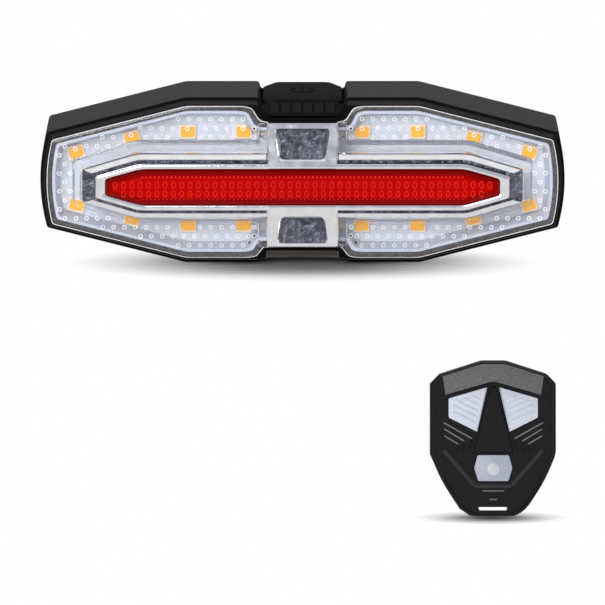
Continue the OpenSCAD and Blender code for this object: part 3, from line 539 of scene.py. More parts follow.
def light_half(depth, upper, lower):
    """Right half of the outline drawn in by a depth: upper notch, slope, end arc, slope and lower notch."""
    corner_x = LEVEL_X - depth * math.tan(SLOPE / 2)
    radius = END_R - depth
    reach = LEVEL_X * math.sin(SLOPE) + TOP * math.cos(SLOPE) - depth - END_CENTRE * math.sin(SLOPE)
    turn = (math.asin(reach / radius) - SLOPE) * np.linspace(1, -1, 7)
    arc = np.column_stack([END_CENTRE + radius * np.cos(turn), radius * np.sin(turn)])
    upper = [(x, min(z, TOP - depth)) for x, z in upper]
    lower = [(x, max(z, depth - TOP)) for x, z in lower]
    return np.vstack([upper, [(corner_x, TOP - depth)], arc, [(corner_x, depth - TOP)], lower])


def light_ring(depth, forward, upper=NO_UPPER, lower=NO_LOWER, radii=LIGHT_RADII):
    """The light's whole outline, drawn in by a depth, at a forward distance."""
    return ring(rounded(pair(light_half(depth, upper, lower)), radii + radii[::-1]), forward)


def light_rings(section, **notches):
    """The light's outline at each depth and forward distance of a section."""
    return [light_ring(depth, forward, **notches) for depth, forward in section]


def lens_notch(foot_x, foot, top):
    """Three corners of a notch: its foot, its side's middle and its mouth, where it meets the edge."""
    mouth_x = foot_x + NOTCH_FLARE * (top - foot) / (TOP - foot)
    return [(foot_x, foot), (0.5 * (foot_x + mouth_x), 0.5 * (foot + top)), (mouth_x, top)]


def lens_ring(depth, forward):
    """The lens's outline: the light's, drawn in by a depth, with notches that grow with it."""
    grow, top = depth - LENS_DEPTH, TOP - depth
    upper = lens_notch(UPPER_NOTCH[0] + grow, UPPER_NOTCH[1] - grow, top)
    lower = [(x, -z) for x, z in lens_notch(LOWER_NOTCH[0] + grow, LOWER_NOTCH[1] - grow, top)[::-1]]
    return light_ring(depth, forward, upper, lower, LENS_RADII)


def lens_rings(section):
    """The lens's outline at each depth and forward distance of a section."""
    return [lens_ring(depth, forward) for depth, forward in section]


def bar_loop(hexagon, grow, boxes=None):
    """A long hexagon grown by a distance, with fifteen corners a half. Boxes may stand over and under it."""
    level, height, tip_x, tip_z = hexagon
    corners = inset(pair([(level, height), (tip_x, tip_z), (tip_x, -tip_z), (level, -height)]), -grow)[:4]
    corners = corners - (0, BAR_DROP)
    tip = corners[1] + (corners[2] - corners[1]) * np.linspace(0, 1, 7)[:, None]
    top, bottom = corners[0][1], corners[3][1]
    if boxes:
        box_x, box_top, box_bottom = boxes
        upper = [(box_x, box_top), (box_x, 0.5 * (box_top + top)), (box_x, top)]
        lower = [(box_x, bottom), (box_x, 0.5 * (bottom + box_bottom)), (box_x, box_bottom)]
    else:
        spare = [BOX_X, BOX_X + 0.8, BOX_X + 1.6]
        upper = [(x, top) for x in spare]
        lower = [(x, bottom) for x in spare[::-1]]
    half = np.vstack([upper, corners[:1], tip, corners[3:], lower])
    return rounded(pair(half), BAR_RADII + BAR_RADII[::-1])


def red_loop(grow):
    """The red bar's outline grown by a distance."""
    return bar_loop(RED, grow)


def opening_loop(grow):
    """The outline of the trim with its boxes, grown by a distance, though less over and under the boxes."""
    over = min(grow, 0.25)
    return bar_loop(TRIM, grow, (BOX_X + grow, OPENING_TOP + over, BOX_BOTTOM - over))


# The light's pieces

def drafted(places, chosen):
    """Places of which the chosen are raised, evenly from nothing at the rim to the draft at the back."""
    rise = DRAFT * np.clip((RIM + places[:, 1]) / (RIM - HOUSING_BACK), 0, 1)
    return places + np.outer(np.where(chosen, rise, 0.0), (0, 0, 1))


def rear_housing():
    """A thick shell: rings of the outline from the rounded back edge to the rim and back along the inside."""
    upper_back, lower_back, edge, wall = 20.9, 23.35, 0.5, 2.0
    inner = {"upper": [(10.1, 12.05), (10.1, 13.8), (10.1, 15.4)],
             "lower": [(11.4, -15.4), (11.4, -14.2), (11.4, -12.9)]}
    back = [(edge + 0.3, HOUSING_BACK)]
    back += [(edge * (1 - math.sin(a)), HOUSING_BACK + edge * (1 - math.cos(a)))
             for a in np.linspace(0, math.pi / 2, 5)]
    rings = light_rings(back + [(0, upper_back)], upper=BACK_DIP)
    rings += light_rings([(0, upper_back), (0, lower_back)], upper=UPPER_RECESS)
    rings += light_rings([(0, lower_back), (0, RIM - 0.1), (0.1, RIM)], **RECESSES)
    rings += light_rings([(wall, RIM), (wall, INSIDE_BACK)], **inner)
    places, faces = solid(rings)
    return drafted(places, np.abs(places[:, 0]) > BUTTON_RECESS_X), faces


def gasket_ring():
    """A flat rubber ring in the groove between the housing's rim and the bezel: a section carried round."""
    section = [(0.12, RIM), (0.12, RIM + 0.06), (0.7, RIM + 0.12), (0.7, BEZEL_BACK), (1.6, BEZEL_BACK),
               (1.6, RIM)]
    return loft(light_rings(section, **RECESSES), around=True)


def front_bezel():
    """A frame: its section runs from the groove over the leaning edge to the lens's ledge and back."""
    outside = [(0.62, BEZEL_BACK), (0.62, BEZEL_BACK + 0.35), (0.72, BEZEL_BACK + 0.7),
               (1.12, BEZEL_FRONT - 0.25), (1.2, BEZEL_FRONT)]
    ledge = [(1.36, BEZEL_FRONT), (LENS_DEPTH, BEZEL_FRONT - 0.12), (LENS_DEPTH, LENS_BACK), (2.7, LENS_BACK),
             (2.7, BEZEL_BACK)]
    return loft(light_rings(outside, **RECESSES) + lens_rings(ledge), around=True)


def reflector():
    """A thin white liner: a flange on the ledge behind the lens, and a wall that leans in to the board."""
    section = [(2.6, LINER_SEAT), (2.6, LINER_FLANGE), (3.2, LINER_FLANGE), (4.2, LED_BACK + 0.15),
               (3.9, LED_BACK + 0.1), (3.05, LINER_SEAT)]
    return loft(lens_rings(section), around=True)


def reflector_edge():
    """The plated edge of the reflector: a flat ring on the ledge outside its flange."""
    section = [(1.8, LINER_SEAT), (1.8, LINER_FLANGE), (2.58, LINER_FLANGE), (2.58, LINER_SEAT)]
    return loft(lens_rings(section), around=True)


def lens_edge():
    """A thin bead along the lens's outer edge: a rounded section carried round. It is a painted highlight:
    white, with a painted glow.
    """
    low, shoulder, crest = LENS_FRONT - 0.5, LENS_FRONT - 0.3, LENS_FRONT - 0.24
    section = [(1.44, low), (1.44, shoulder), (1.48, crest), (1.56, crest), (1.6, shoulder), (1.6, low)]
    return loft(lens_rings(section), around=True)


def lens_dots(size):
    """Staggered spots on the lens's flat face, clear of its edge, of the platform and of the LEDs as the eye
    sees them. One more stands over each upper LED."""
    columns, rows = 24, 9
    edge_margin, platform_margin, led_half, led_rise, spot_rise = 3.3, 2.2, (2.0, 1.6), 0.95, 0.5
    column, row = np.meshgrid(np.arange(-columns, columns + 1), np.arange(-rows, rows + 1))
    step_x, step_z = size.prism_x / MM, size.prism_z / MM
    spots = np.column_stack([(column + 0.5 * (row % 2)).ravel() * step_x, row.ravel() * step_z])
    edge = lens_ring(edge_margin, 0)[:, [0, 2]]
    leds = np.array([spot[:2] for side in (-1, 1) for spot in led_spots(side)])
    seen = leds + (0, led_rise)
    on_led = (np.abs(spots[:, None] - seen[None]) < led_half).all(2).any(1)
    kept = spots[inside(spots, edge) & ~inside(spots, opening_loop(platform_margin)) & ~on_led]
    return np.vstack([kept, (seen + (0, spot_rise))[leds[:, 1] > 0]])


def clear_lens():
    """A plate with a bevelled edge, a platform with sloping walls round the trim, and an opening for it.
    Beside the bar, each ring of the platform rises by its own amount."""
    back, beside_bar = LENS_BACK + 0.15, 10.0
    edge = [(1.5, back), (1.5, LENS_FRONT - 0.4), (1.62, LENS_FRONT - 0.14), (1.9, LENS_FRONT - 0.02),
            (2.1, LENS_FRONT)]
    platform = [(1.95, 0.65, LENS_FRONT), (1.65, 0.5, PLATFORM_FRONT - 0.25), (1.42, 0.45, PLATFORM_FRONT),
                (0.25, 0, PLATFORM_FRONT), (0.1, 0, PLATFORM_FRONT - 0.2), (0.1, 0, back)]
    rings = lens_rings(edge)
    for grow, rise, forward in platform:
        loop = opening_loop(grow)
        loop[np.abs(loop[:, 1]) < beside_bar, 1] += rise
        rings.append(ring(loop, forward))
    return loft(rings, around=True)


def trim_ring(share, forward, tip_share=None, tip_forward=None):
    """A loop between the bar's edge, share 0, and the trim's, share 1. Its ends may have their own values."""
    rim_share, under_front = 0.43, 42.8
    inner, outer = red_loop(0.1), bar_loop(TRIM, 0.0)
    at_tip = np.abs(outer[:, 0]) > TRIM[2] - 0.35
    under_box = (np.abs(inner[:, 0]) < BOX_X + 0.1) & (inner[:, 1] > 0)
    share = np.where(at_tip, share if tip_share is None else tip_share, share)
    forward = np.where(at_tip, forward if tip_forward is None else tip_forward, forward)
    forward = np.where(under_box & (share > rim_share), np.minimum(forward, under_front), forward)
    return ring(inner + (outer - inner) * share[:, None], forward)


def chrome_frame():
    """A section swept round the bar: a rounded rim, a groove, and an outer band that the ends don't have."""
    back = 40.0
    rim = [(0.0, back), (0.0, 46.4), (0.03, 46.6), (0.09, 46.74), (0.15, 46.79), (0.2, CHROME_FRONT),
           (0.26, 46.79), (0.32, 46.74), (0.39, 46.6), (0.43, 46.3), (0.46, 44.7), (0.49, GROOVE),
           (0.5, GROOVE)]
    band = [(0.58, GROOVE), (0.61, 44.7), (0.64, 45.6), (0.67, 45.72), (0.71, 45.72), (0.75, 45.62),
            (0.92, 45.1), (0.96, 44.98), (0.99, 44.85), (1.0, 44.6)]
    rings = [trim_ring(share, forward) for share, forward in rim]
    rings += [trim_ring(share, forward, tip_forward=GROOVE) for share, forward in band]
    return loft(rings + [trim_ring(1.0, back)], around=True)


def groove_floor():
    """A thin stippled strip on the groove's floor, wide at the trim's ends."""
    inner, outer, outer_tip, low, high = 0.455, 0.615, 0.97, GROOVE - 0.1, GROOVE + 0.1
    rings = [trim_ring(inner, low), trim_ring(inner, high), trim_ring(outer, high, outer_tip, high),
             trim_ring(outer, low, outer_tip, low)]
    return loft(rings, around=True)


def box_front(z, near, far):
    """Forward distance of a box's front, which falls back evenly from the bar to its outer end."""
    return CHROME_FRONT + 0.06 - BOX_FALL * (z - near) / (far - near)


def box_loop(half_near, half_far, near, far, radius):
    """A four cornered outline with its own half widths at the bar's end and at the outer end."""
    corners = np.array([(half_far, far), (half_near, near), (-half_near, near), (-half_far, far)], float)
    if far < near:
        corners = corners[::-1]
    return rounded(corners, radius, 7)


def chrome_box(near, far, pocket):
    """A box with a pocket: rings from its back edge over the falling front into the pocket, to the floor. The
    floor's own plate comes with it."""
    floor_front, side = 43.4, math.copysign(1, far - near)
    half_near, half_far, pocket_near, pocket_far = pocket

    def pocket_loop(narrow, near_in, far_in, radius):
        """The pocket's outline, narrowed and drawn in at its two ends."""
        return box_loop(half_near - narrow, half_far - narrow, pocket_near + near_in * side,
                        pocket_far - far_in * side, radius)

    outer = box_loop(BOX_X, BOX_X, near, far, 0.45)
    front = box_loop(BOX_X - 0.3, BOX_X - 0.3, near + 0.3 * side, far - 0.3 * side, 0.45)
    mouth = pocket_loop(0, 0, 0, 0.95)
    lip = pocket_loop(0.3, 0.3, 0.12, 0.9)
    rings = [ring(outer, LENS_BACK)]
    rings += [ring(loop, box_front(loop[:, 1], near, far) - fall)
              for loop, fall in ((outer, 0.35), (front, 0), (mouth, 0), (lip, 0.3))]
    rings.append(ring(pocket_loop(1.1, 0.8, 0.35, 0.7), floor_front))
    return solid(rings), plate(pocket_loop(0.9, 0.6, 0.25, 0.7), floor_front - 0.6, floor_front + 0.05)


def red_bar():
    """The bar's outline from the trim's back to a bevelled flat front: rings that draw in as they rise."""
    section = [(0, 39.5), (0, CHROME_FRONT - 0.1), (-0.12, CHROME_FRONT + 0.1), (-1.25, RED_FRONT - 0.06),
               (-1.4, RED_FRONT), (-1.5, RED_FRONT)]
    return solid([ring(red_loop(grow), forward) for grow, forward in section])


def red_ovals(size):
    """Two rows of tall oval rings, and a row of small dots over and under them, within the flat front."""
    pitch, most, margin, sunk = size.oval_x / MM, 48, 0.9, 0.06
    flat = red_loop(-margin)
    rows = [(0.3, pitch, oval(0.4, 0.7, 0.09), 0.0), (-1.55, pitch, oval(0.4, 0.66, 0.09), 0.0),
            (1.95, pitch / 2, dot(0.2, 0.12), sunk), (-2.75, pitch / 2, dot(0.13, 0.1), sunk)]
    shapes = []
    for z, step, shape, depth in rows:
        x = (np.arange(-most, most) + 0.5) * step
        spots = np.column_stack([x, np.full_like(x, z)])
        outermost = np.column_stack([x + np.sign(x) * margin, spots[:, 1]])
        shapes.append(copies(shape, spots[inside(outermost, flat)], RED_FRONT - depth))
    return merge(shapes)


# The light's small pieces

def power_mark(base):
    """A mark on the button's top: an open circle, which is an arc section swept round in X and forward, and a
    stroke in its gap."""
    middle, radius, half, height = 31.5, 2.55, 0.2, 0.18
    turn = np.linspace(0, math.pi, 5)
    reach, rise = radius + half * np.cos(turn), height * np.sin(turn)
    rise[[0, -1]] = -RIDGE_ROOT
    circle = [np.column_stack([reach * math.cos(a), -(middle + reach * math.sin(a)), base + rise])
              for a in np.radians(np.linspace(-55, 235, 28))]
    stroke = plate(rounded(block(half, 0, height), 0.05, 2), 27.6, 29.8)
    return [solid(circle), moved(stroke, z=base - 0.02)]


def power_button():
    """Sections across the button from its back to its front, where the shoulders narrow. A rounded plate with
    the button's own outline stands before it, and a mark on its top."""
    top, shoulder_z = TOP + 0.2, 16.0
    half = [(5.5, top), (8.5, 16.55), (8.1, 15.6), (6.9, 14.6)]
    narrow = [(5.4, top - 0.15), (6.6, 16.3), (7.0, 15.6), (6.6, 14.6)]
    face = [(5.6, 17.2), (8.6, 16.5), (8.75, 15.3), (7.3, 14.0)]
    body = [(half, 0.9, 21.2), (half, 0.3, 21.35), (half, 0.0, 21.8), (half, 0.0, 36.0), (narrow, 0.0, 42.0),
            (narrow, 0.1, 42.2), (narrow, 0.4, 42.3)]
    front = [(face, 0.1, 42.2), (face, 0.0, 42.3), (face, 0.0, 42.45), (face, 0.12, 42.65),
             (face, 0.35, 42.75)]
    shapes = []
    for stations, radii in ((body, [0.8, 0.6, 0.7, 0.9]), (front, [1.0, 0.6, 1.3, 1.5])):
        shapes.append(solid([ring(rounded(inset(pair(outline), depth), radii + radii[::-1], 7), forward)
                             for outline, depth, forward in stations]))
    places, faces = merge(shapes + power_mark(top))
    return drafted(places, places[:, 2] > shoulder_z), faces


def button_ribs():
    """Six upright bars on the button's front, with narrow gaps between them."""
    count, pitch, half_w, low, high = 6, 2.3, 0.93, 14.8, 16.85
    bar = plate(rounded(block(half_w, low, high), 0.15, 3), 42.5, 43.05, 0.12)
    return merge([moved(bar, x) for x in (np.arange(count) - 0.5 * (count - 1)) * pitch])


def usb_cover():
    """A thin cover: sections across it, from its rounded back edge to the finger lip at the front."""
    stations = [(7.2, -15.55, -15.15, 23.7), (7.4, -15.8, -14.9, 23.85), (7.44, -15.9, -14.8, 24.2),
                (7.44, -15.9, -14.8, 38.8), (7.4, -15.75, -14.5, 40.0), (7.4, -15.75, -14.5, 41.3),
                (7.35, -15.7, -14.55, 41.6), (7.2, -15.5, -14.7, 41.7)]
    return solid([ring(rounded(block(half_w, low, high), 0.25, 4), forward)
                  for half_w, low, high, forward in stations])


def led_spots(side):
    """Middle and turn of each amber LED of one side: four along the upper edge and four along the lower."""
    first_x, last_x, bend_x, slope_gap, level_gap = 12.4, 47.5, LEVEL_X + 3.5, 6.1, 7.6
    x = np.linspace(first_x, last_x, 4)
    on_slope = x > bend_x
    z = TOP - np.maximum(x - LEVEL_X, 0) * math.tan(SLOPE) - np.where(on_slope, slope_gap, level_gap)
    turn = np.where(on_slope, -SLOPE, 0.0)
    return [(side * a, end * b, side * end * c) for a, b, c in zip(x, z, turn) for end in (1, -1)]


def turned(points, spot):
    """Points turned by an LED's angle and moved to its middle."""
    x, z, angle = spot
    spin = np.array([(math.cos(angle), math.sin(angle)), (-math.sin(angle), math.cos(angle))])
    return np.asarray(points) @ spin + (x, z)


def led_packages(spots):
    """White packages, each a small plate with bevelled edges."""
    outline = rounded(block(1.8, -1.5, 1.5), 0.2, 3)
    return merge([plate(turned(outline, spot), LED_BACK, LED_BACK + 0.75, 0.12) for spot in spots])


def led_windows(spots):
    """Resin windows, each a bevelled plate that stands a little out of its package."""
    outline = rounded(block(1.45, -1.1, 1.1), 0.5, 4)
    return merge([plate(turned(outline, spot), LED_BACK + 0.45, LED_BACK + 0.9, 0.12) for spot in spots])


# The remote's pieces, in its own frame: x from its middle, z from its foot, forward from its back

REMOTE_HALF = [(2.5, 31.8), (10.85, 29.1), (12.8, 27.1), (12.8, 12.6), (10.5, 7.1), (6.8, 1.45), (4.55, 0)]
REMOTE_RADII = [0.5, 0.5, 0.5, 1.0, 4.0, 1.6, 1.4, 0.1, 0.42]
TURN_CORNERS = [(1.2, 26.3), (9.1, 24.0), (9.1, 20.1), (3.3, 17.2)]
MODE_HALF = [(3.2, 12.45), (3.9, 9.8), (3.1, 7.15)]
SLOT_X, SLOT_LOW, SLOT_HIGH = 3.0, 1.15, 2.05
PARTING = 5.8
FACE = 10.3
TAP_FRONT = 10.9

# Each line on a cheek: its outer end, its inner end and the end of its dark lower leg
CHEEK_LINES = [((10.2, 19.1), (4.3, 15.8), (4.9, 13.4)), ((10.0, 17.8), (5.9, 15.3), (6.4, 13.3)),
               ((10.0, 16.4), (7.1, 14.7), (7.5, 13.0))]


def at_remote(shape):
    """A shape carried from the remote's own frame to its place, leaning back."""
    places, faces = shape
    x, y, z = places.T
    lean_y = y * math.cos(REMOTE_LEAN) + z * math.sin(REMOTE_LEAN)
    lean_z = z * math.cos(REMOTE_LEAN) - y * math.sin(REMOTE_LEAN)
    return moved((np.column_stack([x, lean_y, lean_z]), faces), REMOTE_X, REMOTE_BACK, REMOTE_FOOT)


def remote_ring(depth, forward, slot_gap=0.0):
    """The remote's outline drawn in by a depth, open at its foot for the strap slot."""
    half = inset(pair(REMOTE_HALF), depth)[:len(REMOTE_HALF)]
    slot = [(SLOT_X + slot_gap, half[-1][1]), (SLOT_X + slot_gap, SLOT_HIGH + slot_gap)]
    return ring(rounded(pair(np.vstack([half, slot])), REMOTE_RADII + REMOTE_RADII[::-1]), forward)


def slot_end(side):
    """A filler that gives one end of the slot its round shape: a block less a half circle."""
    middle, radius = 0.5 * (SLOT_LOW + SLOT_HIGH), 0.5 * (SLOT_HIGH - SLOT_LOW)
    low, high, out = SLOT_LOW - 0.1, SLOT_HIGH + 0.1, SLOT_X + 0.15
    turn = np.radians(np.linspace(90, -90, 9))
    arc = np.column_stack([SLOT_X - radius + radius * np.cos(turn), middle + radius * np.sin(turn)])
    corners = [(SLOT_X - radius, low), (out, low), (out, high), (SLOT_X - radius, high)]
    return plate(np.vstack([arc, corners]) * (side, 1), PARTING + 0.2, FACE - 0.05)


def remote_shell():
    """Rings of the remote's outline from the parting line over a crisp bevel and a fine groove to its face.
    A bar under the slot and two fillers at its ends come with them."""
    bevel = [(0.12, PARTING), (0.0, 5.95), (0.0, 9.7), (0.05, 9.8), (0.6, 10.34)]
    groove = [(0.66, 10.36), (0.7, 10.16), (0.82, 10.16), (0.86, FACE)]
    rings = [remote_ring(depth, forward) for depth, forward in bevel]
    rings += [remote_ring(depth, forward, 0.1) for depth, forward in groove]
    bar = solid([ring(rounded(block(SLOT_X + 0.2, low, SLOT_LOW), 0.08, 3), forward)
                 for low, forward in ((0.0, PARTING), (0.0, 9.9), (0.5, FACE))])
    return merge([solid(rings), bar, slot_end(-1), slot_end(1)])


def remote_facet():
    """The grained upper facet: a roof shaped plate that rises to a crease in the middle."""
    half = [(0, 31.0), (2.4, 31.0), (10.3, 28.5), (9.75, 24.75), (0.6, 27.35), (0, 27.35)]
    shared = (len(half), 2 * len(half) - 1)
    outline = np.delete(pair(half), shared, 0)
    crease = 0.9 * (1 - np.abs(outline[:, 0]) / 10.3)
    return solid([ring(outline, FACE - 0.1), ring(outline, FACE + 0.2 + crease),
                  ring(inset(outline, 0.12), FACE + 0.27 + crease)])


def on_cheeks(first, last, forward, half, height):
    """Ridges on both cheeks, between the chosen two points of each cheek line."""
    lines = [np.multiply(line, (side, 1)) for side in (-1, 1) for line in CHEEK_LINES]
    return [ridge(line[first], line[last], forward, half, height) for line in lines]


def remote_ribs():
    """The nose between the turn buttons, and the dark lower legs of the lines on the cheeks."""
    nose = rounded(pair([(0.5, 26.5), (3.2, 16.7), (4.2, 12.8)]), 0.2, 3)
    return merge([plate(nose, FACE - 0.1, FACE + 0.3, 0.2)] + on_cheeks(1, 2, FACE + 0.04, 0.12, 0.15))


def remote_v():
    """The soft V shaped ridge under the mode button: a level foot and two arms."""
    half, height = 0.5, 0.4
    arms = [ridge((side * 10.2, 13.6), (side * 3.7, 6.2), FACE, half, height) for side in (-1, 1)]
    return merge([ridge((-3.9, 6.15), (3.9, 6.15), FACE, half, height)] + arms)


def remote_edge():
    """Thin ridges along the front shell's bevel, down to the remote's taper: the bevel's painted highlight.
    """
    taper_z = 8.0
    edge = inset(pair(REMOTE_HALF), 0.62)
    return merge([ridge(a, b, FACE + 0.06, 0.09, 0.1) for a, b in zip(edge, np.roll(edge, -1, 0))
                  if 0.5 * (a[1] + b[1]) > taper_z])


def remote_lines():
    """Fine raised lines: three on each cheek and two over the slot."""
    forward, height = FACE + 0.08, 0.2
    over_slot = [ridge((-half_run, z), (half_run, z), forward, 0.15, height)
                 for half_run, z in ((2.3, 5.15), (0.8, 3.4))]
    return merge(on_cheeks(0, 1, forward, 0.17, height) + over_slot)


def chord(outline, point, direction):
    """The two ends of the line through a point that lie on an outline."""
    edge = np.roll(outline, -1, 0) - outline
    side = np.array([-direction[1], direction[0]])
    slant = edge @ side
    share = ((point - outline) @ side) / np.where(np.abs(slant) < 1e-9, 1e-9, slant)
    hits = (outline + edge * share[:, None])[(share >= 0) & (share <= 1)]
    reach = (hits - point) @ direction
    return point + direction * reach.min(), point + direction * reach.max()


def tap(outline):
    """A button from behind the remote's wall to its rounded front edge: rings that draw in as they rise."""
    section = [(0, 8.4), (0, TAP_FRONT - 0.14), (0.06, TAP_FRONT - 0.05), (0.2, TAP_FRONT)]
    return solid([ring(inset(outline, depth), forward) for depth, forward in section])


def turn_button(side):
    """A turn button with ridges that run along its lower edge."""
    margin, first, pitch, count = 0.75, 1.35, 1.15, 5
    corners = np.array(TURN_CORNERS) * (side, 1)
    outline = rounded(corners[::side], 0.25)
    low, high = corners[3], corners[2]
    slant = (high - low) / np.linalg.norm(high - low)
    across = np.array([-slant[1], slant[0]]) * side
    ribs = [ridge(*chord(inset(outline, margin), 0.5 * (low + high) + across * offset, slant),
                  TAP_FRONT - 0.04, 0.42, 0.2) for offset in first + pitch * np.arange(count)]
    return merge([tap(outline)] + ribs)


def mode_button():
    """The mode button: a hexagon with a short bar over its pad."""
    bar = ridge((0, 10.9), (0, 11.9), TAP_FRONT - 0.03, 0.16, 0.12)
    return merge([tap(rounded(pair(MODE_HALF), 0.35)), bar])


def mode_pad():
    """A round pad in the middle of the mode button, with a rounded edge."""
    return moved(dot(1.3, 0.22, 32), forward=TAP_FRONT - 0.02, z=9.6)


# The stage, in metres

FLOOR_HALF = 1.2
FLOOR_EDGE = -0.076
THINNING = 1.2
LIT_MIDDLE = (0, -0.045, -0.02)


def stage_surface(name, tint, middle, squeeze, near, far, base, glow):
    """A pale ground: lamps draw shadows on it. Away from its middle it thins out and glows, so that the
    shadow fades in an oval that is longer in X:
    the shadow's dark core comes from the lamps, and its oval fade is painted. There the eye sees the white
    surroundings, or what hangs below, through it. To other rays it glows there. Mirrors see it as a cool
    grey, and from below it isn't there."""
    material, tree = blank(name)
    place = add(tree, "ShaderNodeTexCoord").outputs["Object"]
    offset = add(tree, "ShaderNodeVectorMath", {0: place, 1: middle}, operation="SUBTRACT")
    oval_offset = add(tree, "ShaderNodeVectorMath", {0: offset.outputs["Vector"], 1: (squeeze, 1, 1)},
                      operation="MULTIPLY")
    reach = add(tree, "ShaderNodeVectorMath", {0: oval_offset.outputs["Vector"]}, operation="LENGTH")
    lift = add(tree, "ShaderNodeMapRange", {
        "Value": reach.outputs["Value"], "From Min": near, "From Max": far,
        "To Min": base, "To Max": glow}, interpolation_type="SMOOTHSTEP")
    path = add(tree, "ShaderNodeLightPath")
    glowing = add(tree, "ShaderNodeMath", {0: lift.outputs["Result"], 1: path.outputs["Is Camera Ray"]},
                  operation="SUBTRACT", use_clamp=True)
    thinned = add(tree, "ShaderNodeMath", {0: lift.outputs["Result"], 1: THINNING},
                  operation="MULTIPLY", use_clamp=True)
    ground = add(tree, "ShaderNodeBsdfPrincipled", {
        "Base Color": tint, "Roughness": 0.9, "Specular IOR Level": 0.0,
        "Emission Color": linear("#FFFFFF"), "Emission Strength": glowing.outputs["Value"]})
    mirrored = add(tree, "ShaderNodeEmission", {"Color": linear("#E4E4E6")})
    mixed = add(tree, "ShaderNodeMixShader", {
        0: path.outputs["Is Glossy Ray"], 1: ground.outputs["BSDF"], 2: mirrored.outputs["Emission"]})
    unseen = add(tree, "ShaderNodeMath", {0: thinned.outputs["Value"], 1: path.outputs["Is Camera Ray"]},
                 operation="MULTIPLY")
    below = add(tree, "ShaderNodeNewGeometry").outputs["Backfacing"]
    open_view = add(tree, "ShaderNodeMath", {0: unseen.outputs["Value"], 1: below}, operation="MAXIMUM")
    clear = add(tree, "ShaderNodeBsdfTransparent")
    shown = add(tree, "ShaderNodeMixShader", {
        0: open_view.outputs["Value"], 1: mixed.outputs["Shader"], 2: clear.outputs["BSDF"]})
    add(tree, "ShaderNodeOutputMaterial", {"Surface": shown.outputs["Shader"]})
    return material


def card_surface(name, glow):
    """A white card that glows evenly."""
    material, tree = blank(name)
    shader = add(tree, "ShaderNodeEmission", {"Color": linear("#FFFFFF"), "Strength": glow})
    add(tree, "ShaderNodeOutputMaterial", {"Surface": shader.outputs["Emission"]})
    return material


def sheet(name, start, end, half_width, material, shades=True):
    """A flat sheet of the stage: a line in Y and Z carried along X. It may let the lamps through."""
    corners = [(x, *spot) for x in (-half_width, half_width) for spot in (start, end)]
    mesh = bpy.data.meshes.new(name)
    mesh.from_pydata(corners, [], [[0, 2, 3, 1]])
    mesh.materials.append(material)
    made = bpy.data.objects.new(name, mesh)
    bpy.context.scene.collection.objects.link(made)
    made.visible_shadow = shades
    return made


def softbox(name, place, width, height, power):
    """A rectangular white lamp that faces the middle of the light."""
    lamp = bpy.data.lights.new(name, "AREA")
    lamp.shape = "RECTANGLE"
    lamp.size, lamp.size_y = width, height
    lamp.energy = power
    box = bpy.data.objects.new(name, lamp)
    box.location = place
    box.rotation_euler = (Vector(LIT_MIDDLE) - Vector(place)).to_track_quat("-Z", "Y").to_euler()
    bpy.context.scene.collection.objects.link(box)


def stage_floors():
    """A floor at the light's foot, and a lower one before it at the remote's foot."""
    step, floor = -TOP * MM, REMOTE_FOOT * MM
    ground = stage_surface("White ground", linear("#9A9A9A"), (0, -0.04, step), squeeze=0.475,
                           near=0.0055, far=0.027, base=0.0, glow=0.9)
    low_ground = stage_surface("Lower white ground", linear("#888888"), (REMOTE_X * MM, -0.086, floor),
                               squeeze=0.45, near=0.0005, far=0.0095, base=0.05, glow=1.0)
    sheet("upper_floor", (FLOOR_EDGE, step), (FLOOR_HALF, step), FLOOR_HALF, ground, shades=False)
    sheet("lower_floor", (-FLOOR_HALF, floor), (FLOOR_EDGE, floor), FLOOR_HALF, low_ground)


def stage_lamps():
    """A softbox overhead, a fill from the front, and a card overhead that only mirrors see."""
    softbox("Overhead softbox", (0.0, 0.5, 0.8), width=1.1, height=0.7, power=15.0)
    glowing = card_surface("Overhead card", 0.92)
    card = sheet("overhead_card", (-0.6, 0.75), (-0.05, 0.85), 0.7, glowing, shades=False)
    card.visible_camera = False
    card.visible_diffuse = False
    softbox("Front fill", (-0.5, -1.5, 0.6), width=0.9, height=0.7, power=13.5)


def stage_surroundings():
    """A grey room, paler in mirrors and white to the eye."""
    world = bpy.data.worlds.new("Grey studio")
    world.use_nodes = True
    tree = world.node_tree
    path = add(tree, "ShaderNodeLightPath")
    room = add(tree, "ShaderNodeMix", {
        0: path.outputs["Is Glossy Ray"], 6: linear("#8F929A"), 7: linear("#B6B8C4")}, data_type="RGBA")
    seen = add(tree, "ShaderNodeMix", {
        0: path.outputs["Is Camera Ray"], 6: room.outputs[2], 7: linear("#FFFFFF")}, data_type="RGBA")
    tree.links.new(seen.outputs[2], tree.nodes["Background"].inputs["Color"])
    bpy.context.scene.world = world


def stage_camera():
    """A long lens that looks down on its target by a small angle."""
    target, distance, rise = Vector((0, -0.045, -0.02506)), 1.6, math.radians(10)
    lens = bpy.data.cameras.new("Camera")
    lens.lens, lens.sensor_width = 454.6, 36.0
    camera = bpy.data.objects.new("Camera", lens)
    camera.location = target + Vector((0, -math.cos(rise), math.sin(rise))) * distance
    camera.rotation_euler = (math.pi / 2 - rise, 0, 0)
    bpy.context.scene.collection.objects.link(camera)
    bpy.context.scene.camera = camera


# Steps, one for each piece or group of like pieces

